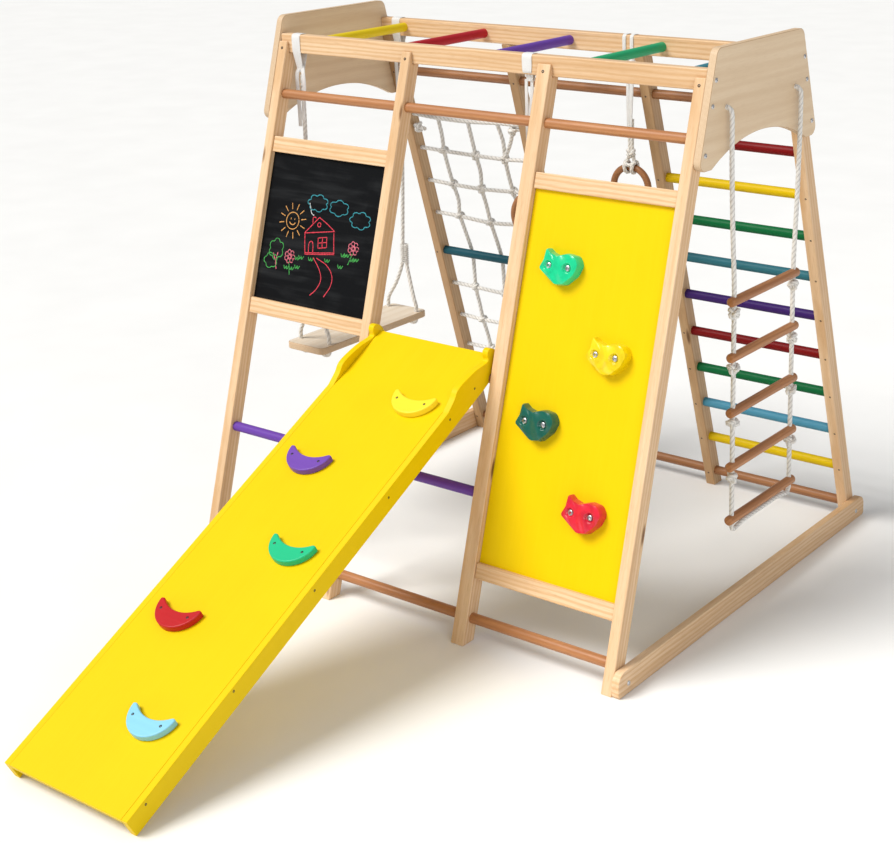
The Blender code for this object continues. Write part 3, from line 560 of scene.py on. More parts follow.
def add(name, bm, look, body="frame", grain=None, replaces=(), slot=None, bevel=0.0, segments=3, smooth=40):
    """A finished piece from a bmesh in the design frame."""
    mesh = bpy.data.meshes.new(name)
    bmesh.ops.recalc_face_normals(bm, faces=bm.faces)
    bm.to_mesh(mesh)
    bm.free()
    if grain:
        write_grain(mesh, *grain)
    mesh.transform(Matrix.Translation(SHIFT))
    for material in look if isinstance(look, (list, tuple)) else [look]:
        mesh.materials.append(material)
    mesh.shade_smooth()
    mesh.set_sharp_from_angle(angle=radians(smooth))
    obj = placed(name, mesh)
    if bevel:
        rounding = obj.modifiers.new("rounded_edges", "BEVEL")
        rounding.width = bevel
        rounding.segments = segments
        rounding.limit_method = "ANGLE"
        rounding.angle_limit = radians(28)
        rounding.harden_normals = True
    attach(obj, body)
    if replaces:
        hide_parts(*replaces)
    return obj


def prism(outline, low, high, plane="yz", side_index=0):
    """A flat outline pushed along the axis that it lies across."""
    bm = bmesh.new()
    rings = []
    for along in (low, high):
        rings.append([bm.verts.new((along, a, b) if plane == "yz" else (a, b, along)) for a, b in outline])
    for face in skin(bm, rings):
        face.material_index = side_index
    return bm


def skin(bm, loops, capped=True):
    """Joins each loop of points to the next by faces, which it returns, and closes the two ends."""
    faces = []
    for near, far in zip(loops, loops[1:]):
        for k in range(len(near)):
            m = (k + 1) % len(near)
            faces.append(bm.faces.new((near[k], near[m], far[m], far[k])))
    if capped:
        bm.faces.new(loops[0])
        bm.faces.new(loops[-1])
    return faces


def circle(bm, centre, u, v, radii):
    """A loop of points about a centre, at the given distances from it."""
    turns = [2 * pi * k / len(radii) for k in range(len(radii))]
    return [bm.verts.new(centre + (u * cos(t) + v * sin(t)) * size) for t, size in zip(turns, radii)]


def store(obj, name, values, kind="FLOAT_VECTOR"):
    """Writes one value for each point of the mesh, for the looks to read."""
    layer = obj.data.attributes.new(name, kind, "POINT")
    layer.data.foreach_set("vector" if kind == "FLOAT_VECTOR" else "value", values)


def frames_along(points, closed=False):
    """Tangent and two normals at each point, turned as little as possible from one to the next."""
    count = len(points)
    tangents = []
    for i in range(count):
        before = points[i - 1] if closed or i else points[0]
        after = points[(i + 1) % count] if closed or i < count - 1 else points[-1]
        tangents.append((after - before).normalized())
    start = X_AXIS if abs(tangents[0].x) < 0.9 else Y_AXIS
    normal = (start - tangents[0] * start.dot(tangents[0])).normalized()
    normals = [normal]
    for before, after in zip(tangents, tangents[1:]):
        normal = before.rotation_difference(after) @ normal
        normal = (normal - after * normal.dot(after)).normalized()
        normals.append(normal)
    return [(t, n, t.cross(n)) for t, n in zip(tangents, normals)]


def lathe(bm, start, end, profile):
    """A turned solid between two points; the profile lists (distance from start, radius)."""
    start, end = Vector(start), Vector(end)
    axis = (end - start).normalized()
    u = axis.cross(X_AXIS if abs(axis.x) < 0.9 else Z_AXIS).normalized()
    v = axis.cross(u)
    skin(bm, [circle(bm, start + axis * along, u, v, [radius] * 28) for along, radius in profile])


def dowel(name, start, end, radius, look, body="frame", replaces=(), round_end=0.0015, slot=None):
    """A turned rod with softened ends and the slight waviness of sanding."""
    bm = bmesh.new()
    axis = Vector(end) - Vector(start)
    long = axis.length
    tip = []
    for turn in (90, 75, 50, 25, 0):
        angle = radians(turn)
        tip.append((round_end * (1 - sin(angle)), radius - round_end * (1 - cos(angle))))
    count = max(4, round(long / 0.05))
    middle = [(long * i / count, radius - rng.uniform(0, 0.00018)) for i in range(1, count)]
    lathe(bm, start, end, tip + middle + [(long - along, size) for along, size in reversed(tip)])
    return add(name, bm, look, body, (axis, axis.orthogonal()), replaces, slot)


def strand_rope(name, routes, radius, body, replaces=(), closed=False, sides=15, spacing=0.0045):
    """Laid three-strand rope along one or more routes, its strands modelled as real twisted lobes."""
    bm = bmesh.new()
    grain = []
    groove = []
    pitch = radius * 7.0
    reach = 0.464
    per = sides // 3
    for route in routes:
        points = catmull(route, spacing, closed)
        base = rng.uniform(0, 9)
        loops = []
        walked = 0.0
        for i, (point, (tangent, normal, other)) in enumerate(zip(points, frames_along(points, closed))):
            if i:
                walked += (point - points[i - 1]).length
            twist = 2 * pi * walked / pitch
            loop = []
            for k in range(sides):
                local = ((k % per) / per - 0.5) * 2 * pi / 3
                size = reach * cos(local) + sqrt((1 - reach) ** 2 - (reach * sin(local)) ** 2)
                size = radius * (size * 0.34 + 0.66)
                turn = 2 * pi * (k // per) / 3 + local + twist
                loop.append(bm.verts.new(point + (normal * cos(turn) + other * sin(turn)) * size))
                grain += [walked + base, (k // per) * 0.7 + local * radius * 0.8, base]
                # How deep each point lies in a groove between strands, where the rope look paints shade.
                groove.append(min(1.0, (1 - size / radius) / 0.11))
            loops.append(loop)
        skin(bm, [*loops, loops[0]] if closed else loops, not closed)
    obj = add(name, bm, ROPE, body, None, replaces, "rope", smooth=75)
    store(obj, "grain", grain)
    store(obj, "groove", groove, "FLOAT")
    return obj


def overhand(centre, size, up=Z_AXIS, turn=0.0):
    """The closed route of a tight overhand knot, a trefoil squashed along the rope it is tied in."""
    up = Vector(up).normalized()
    side = up.orthogonal().normalized()
    side = Matrix.Rotation(turn, 3, up) @ side
    other = up.cross(side)
    route = []
    for k in range(18):
        t = 2 * pi * k / 18
        a = (sin(t) + 2 * sin(2 * t)) / 3
        b = (cos(t) - 2 * cos(2 * t)) / 3
        c = -sin(3 * t) * 0.62
        route.append(Vector(centre) + (side * a + other * c + up * b * 0.9) * size)
    return route


def band(name, path, thick, body, widths):
    """Flat webbing along a path, facing along Y; its width goes from each of the widths to the next."""
    bm = bmesh.new()
    points = catmull(path, 0.006)
    corners = [(-0.5, -0.25), (-0.5, 0.25), (-0.44, 0.5), (0.44, 0.5)]
    corners += [(-a, -b) for a, b in corners]
    grain = []
    loops = []
    walked = 0.0
    for i, (point, (tangent, _, _)) in enumerate(zip(points, frames_along(points))):
        if i:
            walked += (point - points[i - 1]).length
        spot = i / (len(points) - 1) * (len(widths) - 1)
        first = min(int(spot), len(widths) - 2)
        wide = widths[first] + (widths[first + 1] - widths[first]) * (spot - first)
        out = tangent.cross(X_AXIS).normalized()
        loop = []
        for a, b in corners:
            loop.append(bm.verts.new(point + X_AXIS * a * wide + out * b * thick))
            grain += [walked, a * wide, b * thick]
        loops.append(loop)
    skin(bm, loops)
    store(add(name, bm, WEBBING, body, smooth=50, slot="rope"), "grain", grain)


def socket_head(bm, place, normal, radius, height, recess=0.5):
    """A domed bolt head with a hexagonal socket, added to a bmesh."""
    place, normal = Vector(place), Vector(normal).normalized()
    u = normal.orthogonal().normalized()
    v = normal.cross(u)
    sides = 18
    steps = ((1, 0), (1, 0.35), (0.86, 0.78), (recess, 1))
    loops = []
    for size, lift in steps:
        loops.append(circle(bm, place + normal * (height * lift), u, v, [radius * size] * sides))
    hexagon = []
    for k in range(sides):
        hexagon.append(radius * recess * 0.7482 / cos((2 * pi * k / sides) % (pi / 3) - pi / 6))
    loops += [circle(bm, place + normal * lift, u, v, hexagon) for lift in (height, height * 0.25)]
    skin(bm, loops)


# ---------------------------------------------------------------- timber frame

DOWELS = {
    "front_upper_dowel": ("front", 0, 3, 1.268, BEECH, "beech"),
    "front_middle_dowel": ("front", 0, 2, 0.361, PAINT["bar_purple"], "purple_paint"),
    "front_bottom_dowel": ("front", 0, 3, 0.063, BEECH, "beech"),
    "slide_hook_dowel": ("front", 1, 2, HOOK_Z, BEECH, "beech"),
    # The back dowels take beech darkened as painted shade.
    "back_upper_dowel": ("back", 0, 3, 1.268, BEECH_PAINTED_SHADE, "beech"),
    # The net dowel takes teal darkened as painted shade.
    "net_dowel": ("back", 0, 1, NET_DOWEL_Z, PAINT["teal_painted_shade"], "teal_paint"),
    "back_bottom_dowel": ("back", 0, 3, 0.048, BEECH_PAINTED_SHADE, "beech"),
}
# The ladder rungs take the bar colours darkened as painted shade.
RUNG_SHADED_PAINTS = ["red", "yellow_rung", "green", "teal", "purple", "red", "green", "light_blue", "yellow_rung"]
BAR_COLOURS = ["yellow", "red", "purple", "green", "teal"]
for rung, rung_colour in enumerate(RUNG_SHADED_PAINTS):
    slot_name = rung_colour.replace("_rung", "") + "_paint"
    rung_z = TOP_RUNG_Z - RUNG_PITCH * rung
    DOWELS[f"ladder_rung_{rung + 1}"] = ("back", 2, 3, rung_z, PAINT[rung_colour], slot_name)


def post_outline(side):
    """Side view of a post: a leaning bar whose top laps in front of the rail as a thin tongue."""
    deep = POST_THICK / cos(LEAN_ANGLE)
    shoulder, face = RAIL_Z[0] - 0.0004, RAIL_Y[0] - 0.0004
    outline = [
        (0, 0),
        (deep, 0),
        (shoulder * LEAN + deep, shoulder),
        (face, shoulder),
        (face, TONGUE_TOP),
        (TONGUE_TOP * LEAN, TONGUE_TOP),
    ]
    return outline if side == "front" else [(DEPTH - y, z) for y, z in reversed(outline)]


def timber(name, bm, grain, bevel, look=PINE):
    add(f"{name}_timber", bm, look, grain=grain, replaces=[name], slot="pine", bevel=bevel)


def build_posts():
    for side, widths, up in (("front", FRONT_WIDTHS, UP_FRONT), ("back", BACK_WIDTHS, UP_BACK)):
        for index, (centre, width) in enumerate(zip(POST_X, widths)):
            bm = prism(post_outline(side), centre - width / 2, centre + width / 2)
            # The first three back posts take pine darkened as painted shade.
            shaded = side == "back" and index < 3
            timber(f"{side}_post_{index + 1}", bm, (up, X_AXIS), 0.0026, PINE_PAINTED_SHADE if shaded else PINE)


def build_dowels():
    for name, (side, first, last, z, look, slot) in DOWELS.items():
        widths = FRONT_WIDTHS if side == "front" else BACK_WIDTHS
        left = POST_X[first] + widths[first] / 2 - SOCKET
        right = POST_X[last] - widths[last] / 2 + SOCKET
        y = side_y(side, z)
        dowel(f"{name}_rod", (left, y, z), (right, y, z), DOWEL_R, look, replaces=[name], slot=slot)


def build_rails():
    half_long = BOARD_IN - GAP
    low, high = RAIL_Z
    for name, (near, far) in (("front_top_rail", RAIL_Y), ("back_top_rail", BACK_RAIL_Y)):
        bm = prism([(near, low), (far, low), (far, high), (near, high)], -half_long, half_long)
        timber(name, bm, (X_AXIS, Y_AXIS), 0.0036)
    for bar, colour in enumerate(BAR_COLOURS):
        x = BAR_PITCH * (bar - 2)
        ends = (x, RAIL_Y[1] - SOCKET, BAR_Z), (x, BACK_RAIL_Y[0] + SOCKET, BAR_Z)
        name = f"monkey_bar_{bar + 1}"
        dowel(f"{name}_rod", *ends, DOWEL_R, PAINT["bar_" + colour], replaces=[name], slot=colour + "_paint")


def ply(name, part, bm, look, body, grain, bevel):
    """A plywood piece whose rounded edges show their layers."""
    obj = add(name, bm, [look, BIRCH_EDGE], body, grain, [part], "plywood", bevel=bevel)
    obj.modifiers["rounded_edges"].material = 1


def end_board_outline():
    arch_middle = ARCH_TOP - ARCH_RADIUS
    reach = asin(ARCH_HALF / ARCH_RADIUS)
    arch = []
    for step in range(25):
        turn = -reach + reach * step / 24
        arch.append((MID_Y + ARCH_RADIUS * sin(turn), arch_middle + ARCH_RADIUS * cos(turn)))
    corners = [(MID_Y, BOARD_TOP), *[(z * LEAN, z) for z in (BOARD_TOP, BOARD_LOBE_Z)], arch[0]]
    half = rounded(corners, [0, 0.024, 0.022, 0], 10)[:-1] + arch
    return half + [(DEPTH - y, z) for y, z in reversed(half[1:-1])]


BOARD_BOLTS = [(0.428, 1.407), (0.413, 1.347), (0.381, 1.235)]


def build_ends():
    bolts = bmesh.new()
    tail = DEPTH + 0.01
    corners = [(0, 0), (tail, 0), (tail, BASE_HEIGHT), (0, BASE_HEIGHT)]
    profile = rounded(corners, [0.01, 0.01, 0.028, 0.028], 8)
    for side, sign in (("left", -1), ("right", 1)):
        name = f"end_board_{side}"
        face = sign * (BOARD_IN + BOARD_THICK)
        bm = prism(end_board_outline(), *sorted((sign * BOARD_IN, face)), side_index=1)
        ply(f"{name}_ply", name, bm, BIRCH, "frame", (Y_AXIS, X_AXIS), 0.0016)
        for y, z in BOARD_BOLTS:
            for place in (y, DEPTH - y):
                socket_head(bolts, (face - sign * GAP, place, z), (sign, 0, 0), BOLT_R, 0.003)
    for sign in (-1, 1):
        face = sign * (BOARD_IN + BASE_THICK)
        for y in (0.042, DEPTH - 0.042):
            socket_head(bolts, (face - sign * GAP, y, 0.027), (sign, 0, 0), BOLT_R, 0.0028)
    add("end_bolts", bolts, ZINC, smooth=35)
    for side, sign in (("left", -1), ("right", 1)):
        bm = prism(profile, *sorted((sign * BOARD_IN, sign * (BOARD_IN + BASE_THICK))))
        timber(f"base_rail_{side}", bm, (Y_AXIS, X_AXIS), 0.003)


def hole_dot(bm, place, normal, radius=0.003):
    """A small dark screw, sunk flush in its hole."""
    socket_head(bm, Vector(place) - Vector(normal).normalized() * 0.0006, normal, radius, 0.0011, 0.45)


def build_screws():
    """The screws through the posts' inner faces into each dowel, and the bolts in the posts' tongues."""
    bm = bmesh.new()
    inward = {"front": IN_FRONT, "back": IN_BACK}
    for side, first, last, z, _, _ in DOWELS.values():
        widths = FRONT_WIDTHS if side == "front" else BACK_WIDTHS
        for index in range(first, last + 1):
            centre = Vector((POST_X[index], side_y(side, z), z))
            shift = ((index == last) - (index == first)) * 0.004 * widths[index] / 0.03
            hole_dot(bm, centre + inward[side] * POST_THICK / 2 + X_AXIS * shift, inward[side])
    for side in inward:
        for x in POST_X:
            y = TONGUE_BOLT_Z * LEAN
            hole_dot(bm, (x, y if side == "front" else DEPTH - y, TONGUE_BOLT_Z), -inward[side], 0.0044)
    add("post_screws", bm, DARK_STEEL, smooth=35)


# ---------------------------------------------------------------- panels and holds


def build_wall(panel, look, slot, span, z_range, rail_tall, grain):
    """A panel between its two rails."""

    def box(along, deep):
        (low, high), (near, far) = along, deep
        spots = ((low, near), (low, far), (high, far), (high, near))
        return prism([lean_point(*spot) for spot in spots], *span)

    low, high = (z / cos(LEAN_ANGLE) for z in z_range)
    tall = rail_tall / cos(LEAN_ANGLE)
    sheet = box((low - 0.006, high + 0.006), (PANEL_DEEP, PANEL_DEEP + PANEL_THICK))
    add(f"{panel}_sheet", sheet, look, "frame", (grain, IN_FRONT), [panel], slot, bevel=0.0008)
    for part, along in (("top_rail", (high, high + tall)), ("bottom_rail", (low - tall, low))):
        timber(f"{panel}_{part}", box(along, CROSS_RAIL_DEEP), (X_AXIS, IN_FRONT), 0.0026)


def ribbon(bm, points, width, place):
    """A thin flat stroke through points of the board; place turns (u, v) into a point on it."""
    line = catmull([(u, v, 0) for u, v in points], 0.003)
    rows = []
    for i, point in enumerate(line):
        ahead = (line[min(i + 1, len(line) - 1)] - line[max(i - 1, 0)]).normalized()
        side = Vector((-ahead.y, ahead.x, 0)) * width * rng.uniform(0.38, 0.6)
        rows.append([bm.verts.new(place(point + side)), bm.verts.new(place(point - side))])
    for (a, b), (c, d) in zip(rows, rows[1:]):
        bm.faces.new((a, b, d, c))


def arc(u, v, radius, start, end, count=14):
    turns = (radians(start + (end - start) * k / count) for k in range(count + 1))
    return [(u + radius * cos(t), v + radius * sin(t)) for t in turns]


def puffs(u, v, wide, tall, bumps):
    """A closed, lobed outline, as a child draws a cloud or a bush."""
    line = []
    for k in range(bumps * 4 + 1):
        turn = 2 * pi * k / (bumps * 4)
        reach = 0.8 + 0.2 * abs(sin(turn * bumps / 2))
        line.append((u + wide * reach * cos(turn), v + tall * reach * sin(turn)))
    return line


SUN = (-0.104, 0.023)
GRASS = [(-0.086, -0.112), (-0.07, -0.082), (-0.056, -0.078), (-0.02, -0.078), (0.04, -0.074)]
GRASS += [(0.09, -0.084), (-0.106, -0.112), (-0.066, -0.106), (0.096, -0.052), (0.108, -0.05)]
GRASS += [(0.13, -0.06), (0.142, -0.058)]


def chalk_drawing():
    """A child's drawing: a house with a path, a sun, three clouds, a bush, flowers and grass."""
    sun = [arc(*SUN, 0.0235, 10, 378), arc(SUN[0], 0.024, 0.012, 205, 335)]
    sun += [[(SUN[0] + side, 0.026), (SUN[0] + side, 0.031)] for side in (-0.007, 0.007)]
    for k in range(12):
        t = 2 * pi * k / 12 + 0.2
        sun.append([(SUN[0] + r * cos(t), SUN[1] + r * sin(t)) for r in (0.032, 0.04, 0.05)])
    clouds = [puffs(-0.02, 0.082, 0.038, 0.024, 7), puffs(0.059, 0.077, 0.036, 0.022, 6)]
    clouds.append(puffs(0.14, 0.053, 0.038, 0.024, 7))
    walls = [
        [(-0.052, -0.005), (-0.047, -0.034), (-0.041, -0.062)],
        [(-0.041, -0.062), (0.01, -0.056), (0.064, -0.049)],
        [(-0.042, -0.058), (0.01, -0.052), (0.063, -0.045)],
        [(0.064, -0.048), (0.058, -0.02), (0.053, 0.008)],
    ]
    roof = [
        [(-0.054, -0.005), (0.000, 0.004), (0.055, 0.013)],
        [(-0.054, -0.005), (-0.03, 0.02), (-0.007, 0.044)],
        [(-0.007, 0.044), (0.024, 0.03), (0.055, 0.013)],
        [(-0.027, 0.02), (-0.029, 0.03), (-0.03, 0.041)],
        [(-0.03, 0.041), (-0.025, 0.043), (-0.018, 0.041)],
        arc(-0.004, 0.024, 0.006, 0, 350),
    ]
    door = [(-0.029, -0.06), (-0.031, -0.045), (-0.032, -0.032), (-0.025, -0.024), (-0.017, -0.031)]
    door.append((-0.013, -0.058))
    window = [
        [(-0.001, -0.012), (0.015, -0.009), (0.03, -0.006)],
        [(0.003, -0.04), (0.018, -0.037), (0.034, -0.034)],
        [(-0.001, -0.012), (0.001, -0.026), (0.003, -0.04)],
        [(0.03, -0.006), (0.032, -0.02), (0.034, -0.034)],
        [(0.001, -0.026), (0.016, -0.023), (0.032, -0.02)],
        [(0.015, -0.009), (0.016, -0.023), (0.018, -0.037)],
    ]
    path = [
        [(-0.009, -0.067), (0.02, -0.098), (0.03, -0.125), (0.018, -0.152), (-0.002, -0.171)],
        [(0.003, -0.067), (0.044, -0.082), (0.068, -0.107), (0.068, -0.136), (0.049, -0.168)],
    ]
    smoke = [[(-0.028, 0.047), (-0.038, 0.052), (-0.043, 0.063), (-0.05, 0.079)]]
    green = [puffs(-0.15, -0.062, 0.028, 0.03, 6), puffs(-0.165, -0.096, 0.026, 0.022, 5)]
    green.append([(-0.096, -0.09), (-0.092, -0.108), (-0.088, -0.126)])
    green.append([(0.129, -0.038), (0.124, -0.055), (0.118, -0.07)])
    for u, v in GRASS:
        green.append([(u - 0.007, v + 0.01), (u - 0.002, v), (u + 0.003, v + 0.009)])
        green.append([(u + 0.003, v + 0.009), (u + 0.006, v), (u + 0.012, v + 0.009)])
    pink = [[(-0.14, -0.118), (-0.146, -0.095), (-0.142, -0.07)]]
    pink.append([(-0.146, -0.095), (-0.154, -0.084), (-0.158, -0.074)])
    for u, v in ((-0.096, -0.076), (0.13, -0.024)):
        pink.append(arc(u, v, 0.005, 0, 350, 8))
        for k in range(7):
            t = 2 * pi * k / 7
            pink.append(arc(u + 0.013 * cos(t), v + 0.013 * sin(t), 0.006, 0, 330, 8))
    house = [*walls, *roof, door, *window, *path]
    return {"orange": sun, "blue": clouds, "red": house, "white": smoke, "green": green, "pink": pink}


def build_chalk(middle_x):
    middle = (CHALK_Z[0] + CHALK_Z[1]) / 2 / cos(LEAN_ANGLE)

    def on_board(point):
        y, z = lean_point(middle + point.y, PANEL_DEEP - 0.0003)
        return (middle_x + point.x, y, z)

    for colour, strokes in chalk_drawing().items():
        bm = bmesh.new()
        for stroke in strokes:
            ribbon(bm, stroke, 0.0026, on_board)
        add(f"chalk_{colour}", bm, CHALK[colour])


HOLDS = {
    "hold_bright_green": (-0.091, 0.98),
    "hold_yellow": (0.082, 0.787),
    "hold_dark_green": (-0.093, 0.592),
    "hold_red": (0.08, 0.401),
}
HOLD_CORNERS = [(-0.042, 0.044), (-0.026, 0.033), (-0.006, 0.027), (0.022, 0.037), (0.05, 0.033)]
HOLD_CORNERS += [(0.063, 0.012), (0.052, -0.016), (0.024, -0.042), (-0.002, -0.046), (-0.03, -0.028)]
HOLD_CORNERS += [(-0.058, -0.01), (-0.046, 0.014)]
HOLD_RADII = [0.003, 0.008, 0.01, 0.022, 0.018, 0.018, 0.025, 0.012, 0.015, 0.04, 0.007, 0.008]


def hold_mesh():
    """A moulded grip: crowned, with a thick lip and two sunk bolt pockets."""
    bm = bmesh.new()
    outline = catmull([(u, v, 0) for u, v in rounded(HOLD_CORNERS, HOLD_RADII, 5)], 0.0022, closed=True)
    centre = Vector((0.002, -0.004, 0))
    layers = [(1.0, 0.0), (1.0, 0.006), (0.996, 0.012), (0.985, 0.0165), (0.965, 0.0205), (0.935, 0.0235)]
    layers += [(1 - 0.07 - k * 0.045, 0.025 + 0.0032 * sin(k / 19 * pi / 2)) for k in range(20)]
    loops = []
    for scale, height in layers:
        loop = []
        for point in outline:
            spot = centre + (point - centre) * scale
            lift = height
            for side in (-HOLD_BOLT, HOLD_BOLT):
                away = hypot(spot.x - side, spot.y)
                lift -= 0.0075 * max(0.0, min(1.0, (0.0125 - away) / 0.004)) * (scale < 0.97)
            ridge = 0.0011 * sin(spot.x * 150 + spot.y * 60) * max(0.0, min(1.0, (0.95 - scale) * 8))
            loop.append(bm.verts.new((spot.x, spot.y, max(0.0, lift + ridge))))
        loops.append(loop)
    skin(bm, loops)
    return bm


def build_holds(middle_x):
    bolts = bmesh.new()
    stand = Matrix.Rotation(pi / 2 - LEAN_ANGLE, 4, "X")
    for name, (sideways, along) in HOLDS.items():
        y, z = lean_point(along, PANEL_DEEP - 0.0002)
        place = Matrix.Translation((middle_x + sideways, y, z)) @ stand
        bm = hold_mesh()
        bmesh.ops.transform(bm, matrix=place, verts=bm.verts)
        slot = name.replace("hold_", "") + "_plastic"
        add(f"{name}_resin", bm, RESIN[name], replaces=[name], slot=slot, smooth=50)
        for side in (-HOLD_BOLT, HOLD_BOLT):
            spot = place @ Vector((side, 0, 0.0185))
            socket_head(bolts, spot, place.to_3x3() @ Z_AXIS, 0.0078, 0.0045)
    add("hold_bolts", bolts, ZINC, smooth=35)


# ---------------------------------------------------------------- slide


def slide_side_outline():
    """A straight side with a hump before its hooked upper end, whose slot fits round the dowel."""
    past = [(-0.215, 0), (-0.178, 0.012), (-0.158, 0.023), (-0.13, 0.024), (-0.08, 0.017), (-0.046, 0.007)]
    past += [(-0.03, 0.003), (-0.0235, 0.008), (-0.022, 0.018), (-0.014, 0.026), (-0.002, 0.024)]
    past += [(0.009, 0.01), (0.013, -0.012)]
    outline = [slide_point(0, 0)]
    for point in catmull([(along, above, 0) for along, above in past], 0.005):
        above = max(0.0, point.y) if point.x < -0.05 else point.y
        outline.append(slide_point(SLIDE_LONG + point.x, above))
    outline += [slide_point(SLIDE_LONG + 0.013, -0.05), slide_point(SLIDE_LONG + 0.01, -0.062)]
    axis_y = side_y("front", HOOK_Z)
    for step in range(17):
        turn = SLIDE_ANGLE + pi * step / 16
        outline.append((axis_y + HOOK_SLOT_R * cos(turn), HOOK_Z + HOOK_SLOT_R * sin(turn)))
    outline += [slide_point(SLIDE_LONG - 0.075, -SIDE_TALL), slide_point(0, -SIDE_TALL)]
    return outline


def crescent(x, along):
    """A smiling crescent foothold with rounded edges, as a bmesh."""
    outline = []
    arcs = ((26, 180, 180, 0.0665, 0.0275), (22, 311, -82, 0.0875, 0.0955))
    for count, start, sweep, radius, rise in arcs:
        for step in range(count + 1):
            turn = radians(start + sweep * step / count)
            outline.append((radius * cos(turn), rise + radius * sin(turn)))
    bm = prism(outline, 0, STEP_TALL, "xy")
    for vert in bm.verts:
        y, z = slide_point(along + vert.co.y, vert.co.z - 0.0002)
        vert.co = (x + vert.co.x, y, z)
    return bm


STEPS = [
    ("light_blue", 0.075, 0.203),
    ("red", -0.074, 0.456),
    ("green", 0.079, 0.706),
    ("purple", -0.071, 0.957),
    ("yellow", 0.088, 1.202),
]
SIDE_SCREWS = [(-0.986, 0.059), (-0.725, 0.197), (-0.462, 0.328), (-0.199, 0.461)]
SIDE_SCREWS += [(0.038, 0.583), (0.138, 0.634)]


def build_slide():
    half = SLIDE_WIDTH / 2
    inner = half - SIDE_THICK - 0.0003
    screws = bmesh.new()

    def board(name, bm, bevel, normal=UP_FROM_SLIDE, smooth=40):
        facts = ("slide", (ALONG_SLIDE, normal), [name], "yellow_paint", bevel)
        add(f"{name}_board", bm, PAINT["yellow"], *facts, smooth=smooth)

    def across(corners):
        return prism([slide_point(*corner) for corner in corners], SLIDE_X - inner, SLIDE_X + inner)

    for side, sign in (("left", -1), ("right", 1)):
        span = sorted((SLIDE_X + sign * half, SLIDE_X + sign * (half - SIDE_THICK)))
        board(f"slide_side_{side}", prism(slide_side_outline(), *span), 0.0016, X_AXIS, smooth=35)
        for y, z in SIDE_SCREWS:
            hole_dot(screws, (SLIDE_X + sign * half, y, z), (sign, 0, 0), 0.0034)
    deck = across([(0, -DECK_THICK), (SLIDE_LONG, -DECK_THICK), (SLIDE_LONG, 0), (0, 0)])
    board("slide_deck", deck, 0.0004)
    for step, (colour, sideways, along) in enumerate(STEPS):
        x = SLIDE_X + sideways
        facts = (PAINT["step_" + colour], "slide", (X_AXIS, UP_FROM_SLIDE), (), colour + "_paint", 0.0036, 4)
        add(f"foothold_{step + 1}", crescent(x, along), *facts)
        for side in (-0.044, 0.044):
            hole_dot(screws, (x + side, *slide_point(along + 0.0015, STEP_TALL)), UP_FROM_SLIDE, 0.0036)
    add("slide_screws", screws, DARK_STEEL, "slide", smooth=35)
    top, bottom = -DECK_THICK - GAP, -0.034
    cleat = across([(0.1, bottom), (0.1, top), (0.13, top), (0.13, bottom)])
    add("slide_cleat", cleat, PAINT["yellow"], "slide", (X_AXIS, UP_FROM_SLIDE), (), "yellow_paint", 0.0015)


# ---------------------------------------------------------------- ropes, swing, rings and rope ladder


def moved(points):
    return [tuple(Vector(point) + SHIFT) for point in points]


def route_length(points):
    line = catmull(points, 0.004)
    return sum((b - a).length for a, b in zip(line, line[1:]))


def swing_route(leg_y, strap_y):
    """Down from the strap, split above the seat, through one hole, under the seat and up the other."""
    split_y = leg_y + (strap_y - leg_y) * SPLIT_SHARE
    fork_y = (split_y + leg_y) / 2
    under, top = SEAT_Z - ROPE_R - 0.002, SEAT_Z + SEAT_THICK
    leg = [(LEG_X - 0.007, 0.576), (LEG_X, top + 0.02), (LEG_X, SEAT_Z + 0.01), (LEG_X, SEAT_Z - 0.004)]
    leg += [(LEG_X - 0.006, under - 0.0055), (LEG_X - 0.018, under - 0.0075), (LEG_X - 0.035, under - 0.003)]
    return [
        (SWING_X, strap_y, SWING_PIVOT_Z),
        (SWING_X, strap_y + (split_y - strap_y) * 0.3, 1.12),
        (SWING_X, strap_y + (split_y - strap_y) * 0.7, 0.9),
        (SWING_X - 0.001, split_y, SPLIT_Z),
        (SWING_X - 0.004, split_y, 0.685),
        (SWING_X - 0.024, fork_y, 0.622),
        *[(SWING_X - x, leg_y, z) for x, z in leg],
        (SWING_X, leg_y, under - 0.0015),
        *[(SWING_X + x, leg_y, z) for x, z in reversed(leg)],
        (SWING_X + 0.03, fork_y, 0.626),
        (SWING_X + 0.0115, split_y, 0.685),
        (SWING_X + 0.013, split_y, SPLIT_Z),
    ]


def ladder_route():
    """Out of the end board, down through the rungs, under the last one and up the other side."""
    start_x = BOARD_IN + BOARD_THICK + 0.0045
    low = LADDER_RUNG_Z[-1]
    half = [
        (start_x, ROPE_HOLE_Y, ROPE_HOLE_Z),
        (start_x + 0.0095, ROPE_HOLE_Y, ROPE_HOLE_Z - 0.008),
        (LADDER_X, ROPE_HOLE_Y, ROPE_HOLE_Z - 0.03),
        (LADDER_X, ROPE_HOLE_Y - 0.002, 1.2),
        (LADDER_X, ROPE_HOLE_Y - 0.009, 1.05),
        (LADDER_X, LADDER_ROPE_Y + 0.003, 0.93),
        *[(LADDER_X, LADDER_ROPE_Y, z) for z in LADDER_RUNG_Z],
        (LADDER_X, LADDER_ROPE_Y, low - 0.0165),
        (LADDER_X, LADDER_ROPE_Y - 0.0045, low - 0.0265),
        (LADDER_X, LADDER_ROPE_Y - 0.015, low - 0.03),
        (LADDER_X, LADDER_ROPE_Y - 0.035, low - 0.0265),
        (LADDER_X, LADDER_ROPE_Y - 0.07, low - 0.0225),
    ]
    down = [(x, MID_Y - y, z) for x, y, z in half]
    up = [(x, MID_Y + y, z) for x, y, z in reversed(half)]
    return down + [(LADDER_X, MID_Y, low - LADDER_RUNG_R - ROPE_R - 0.004)] + up


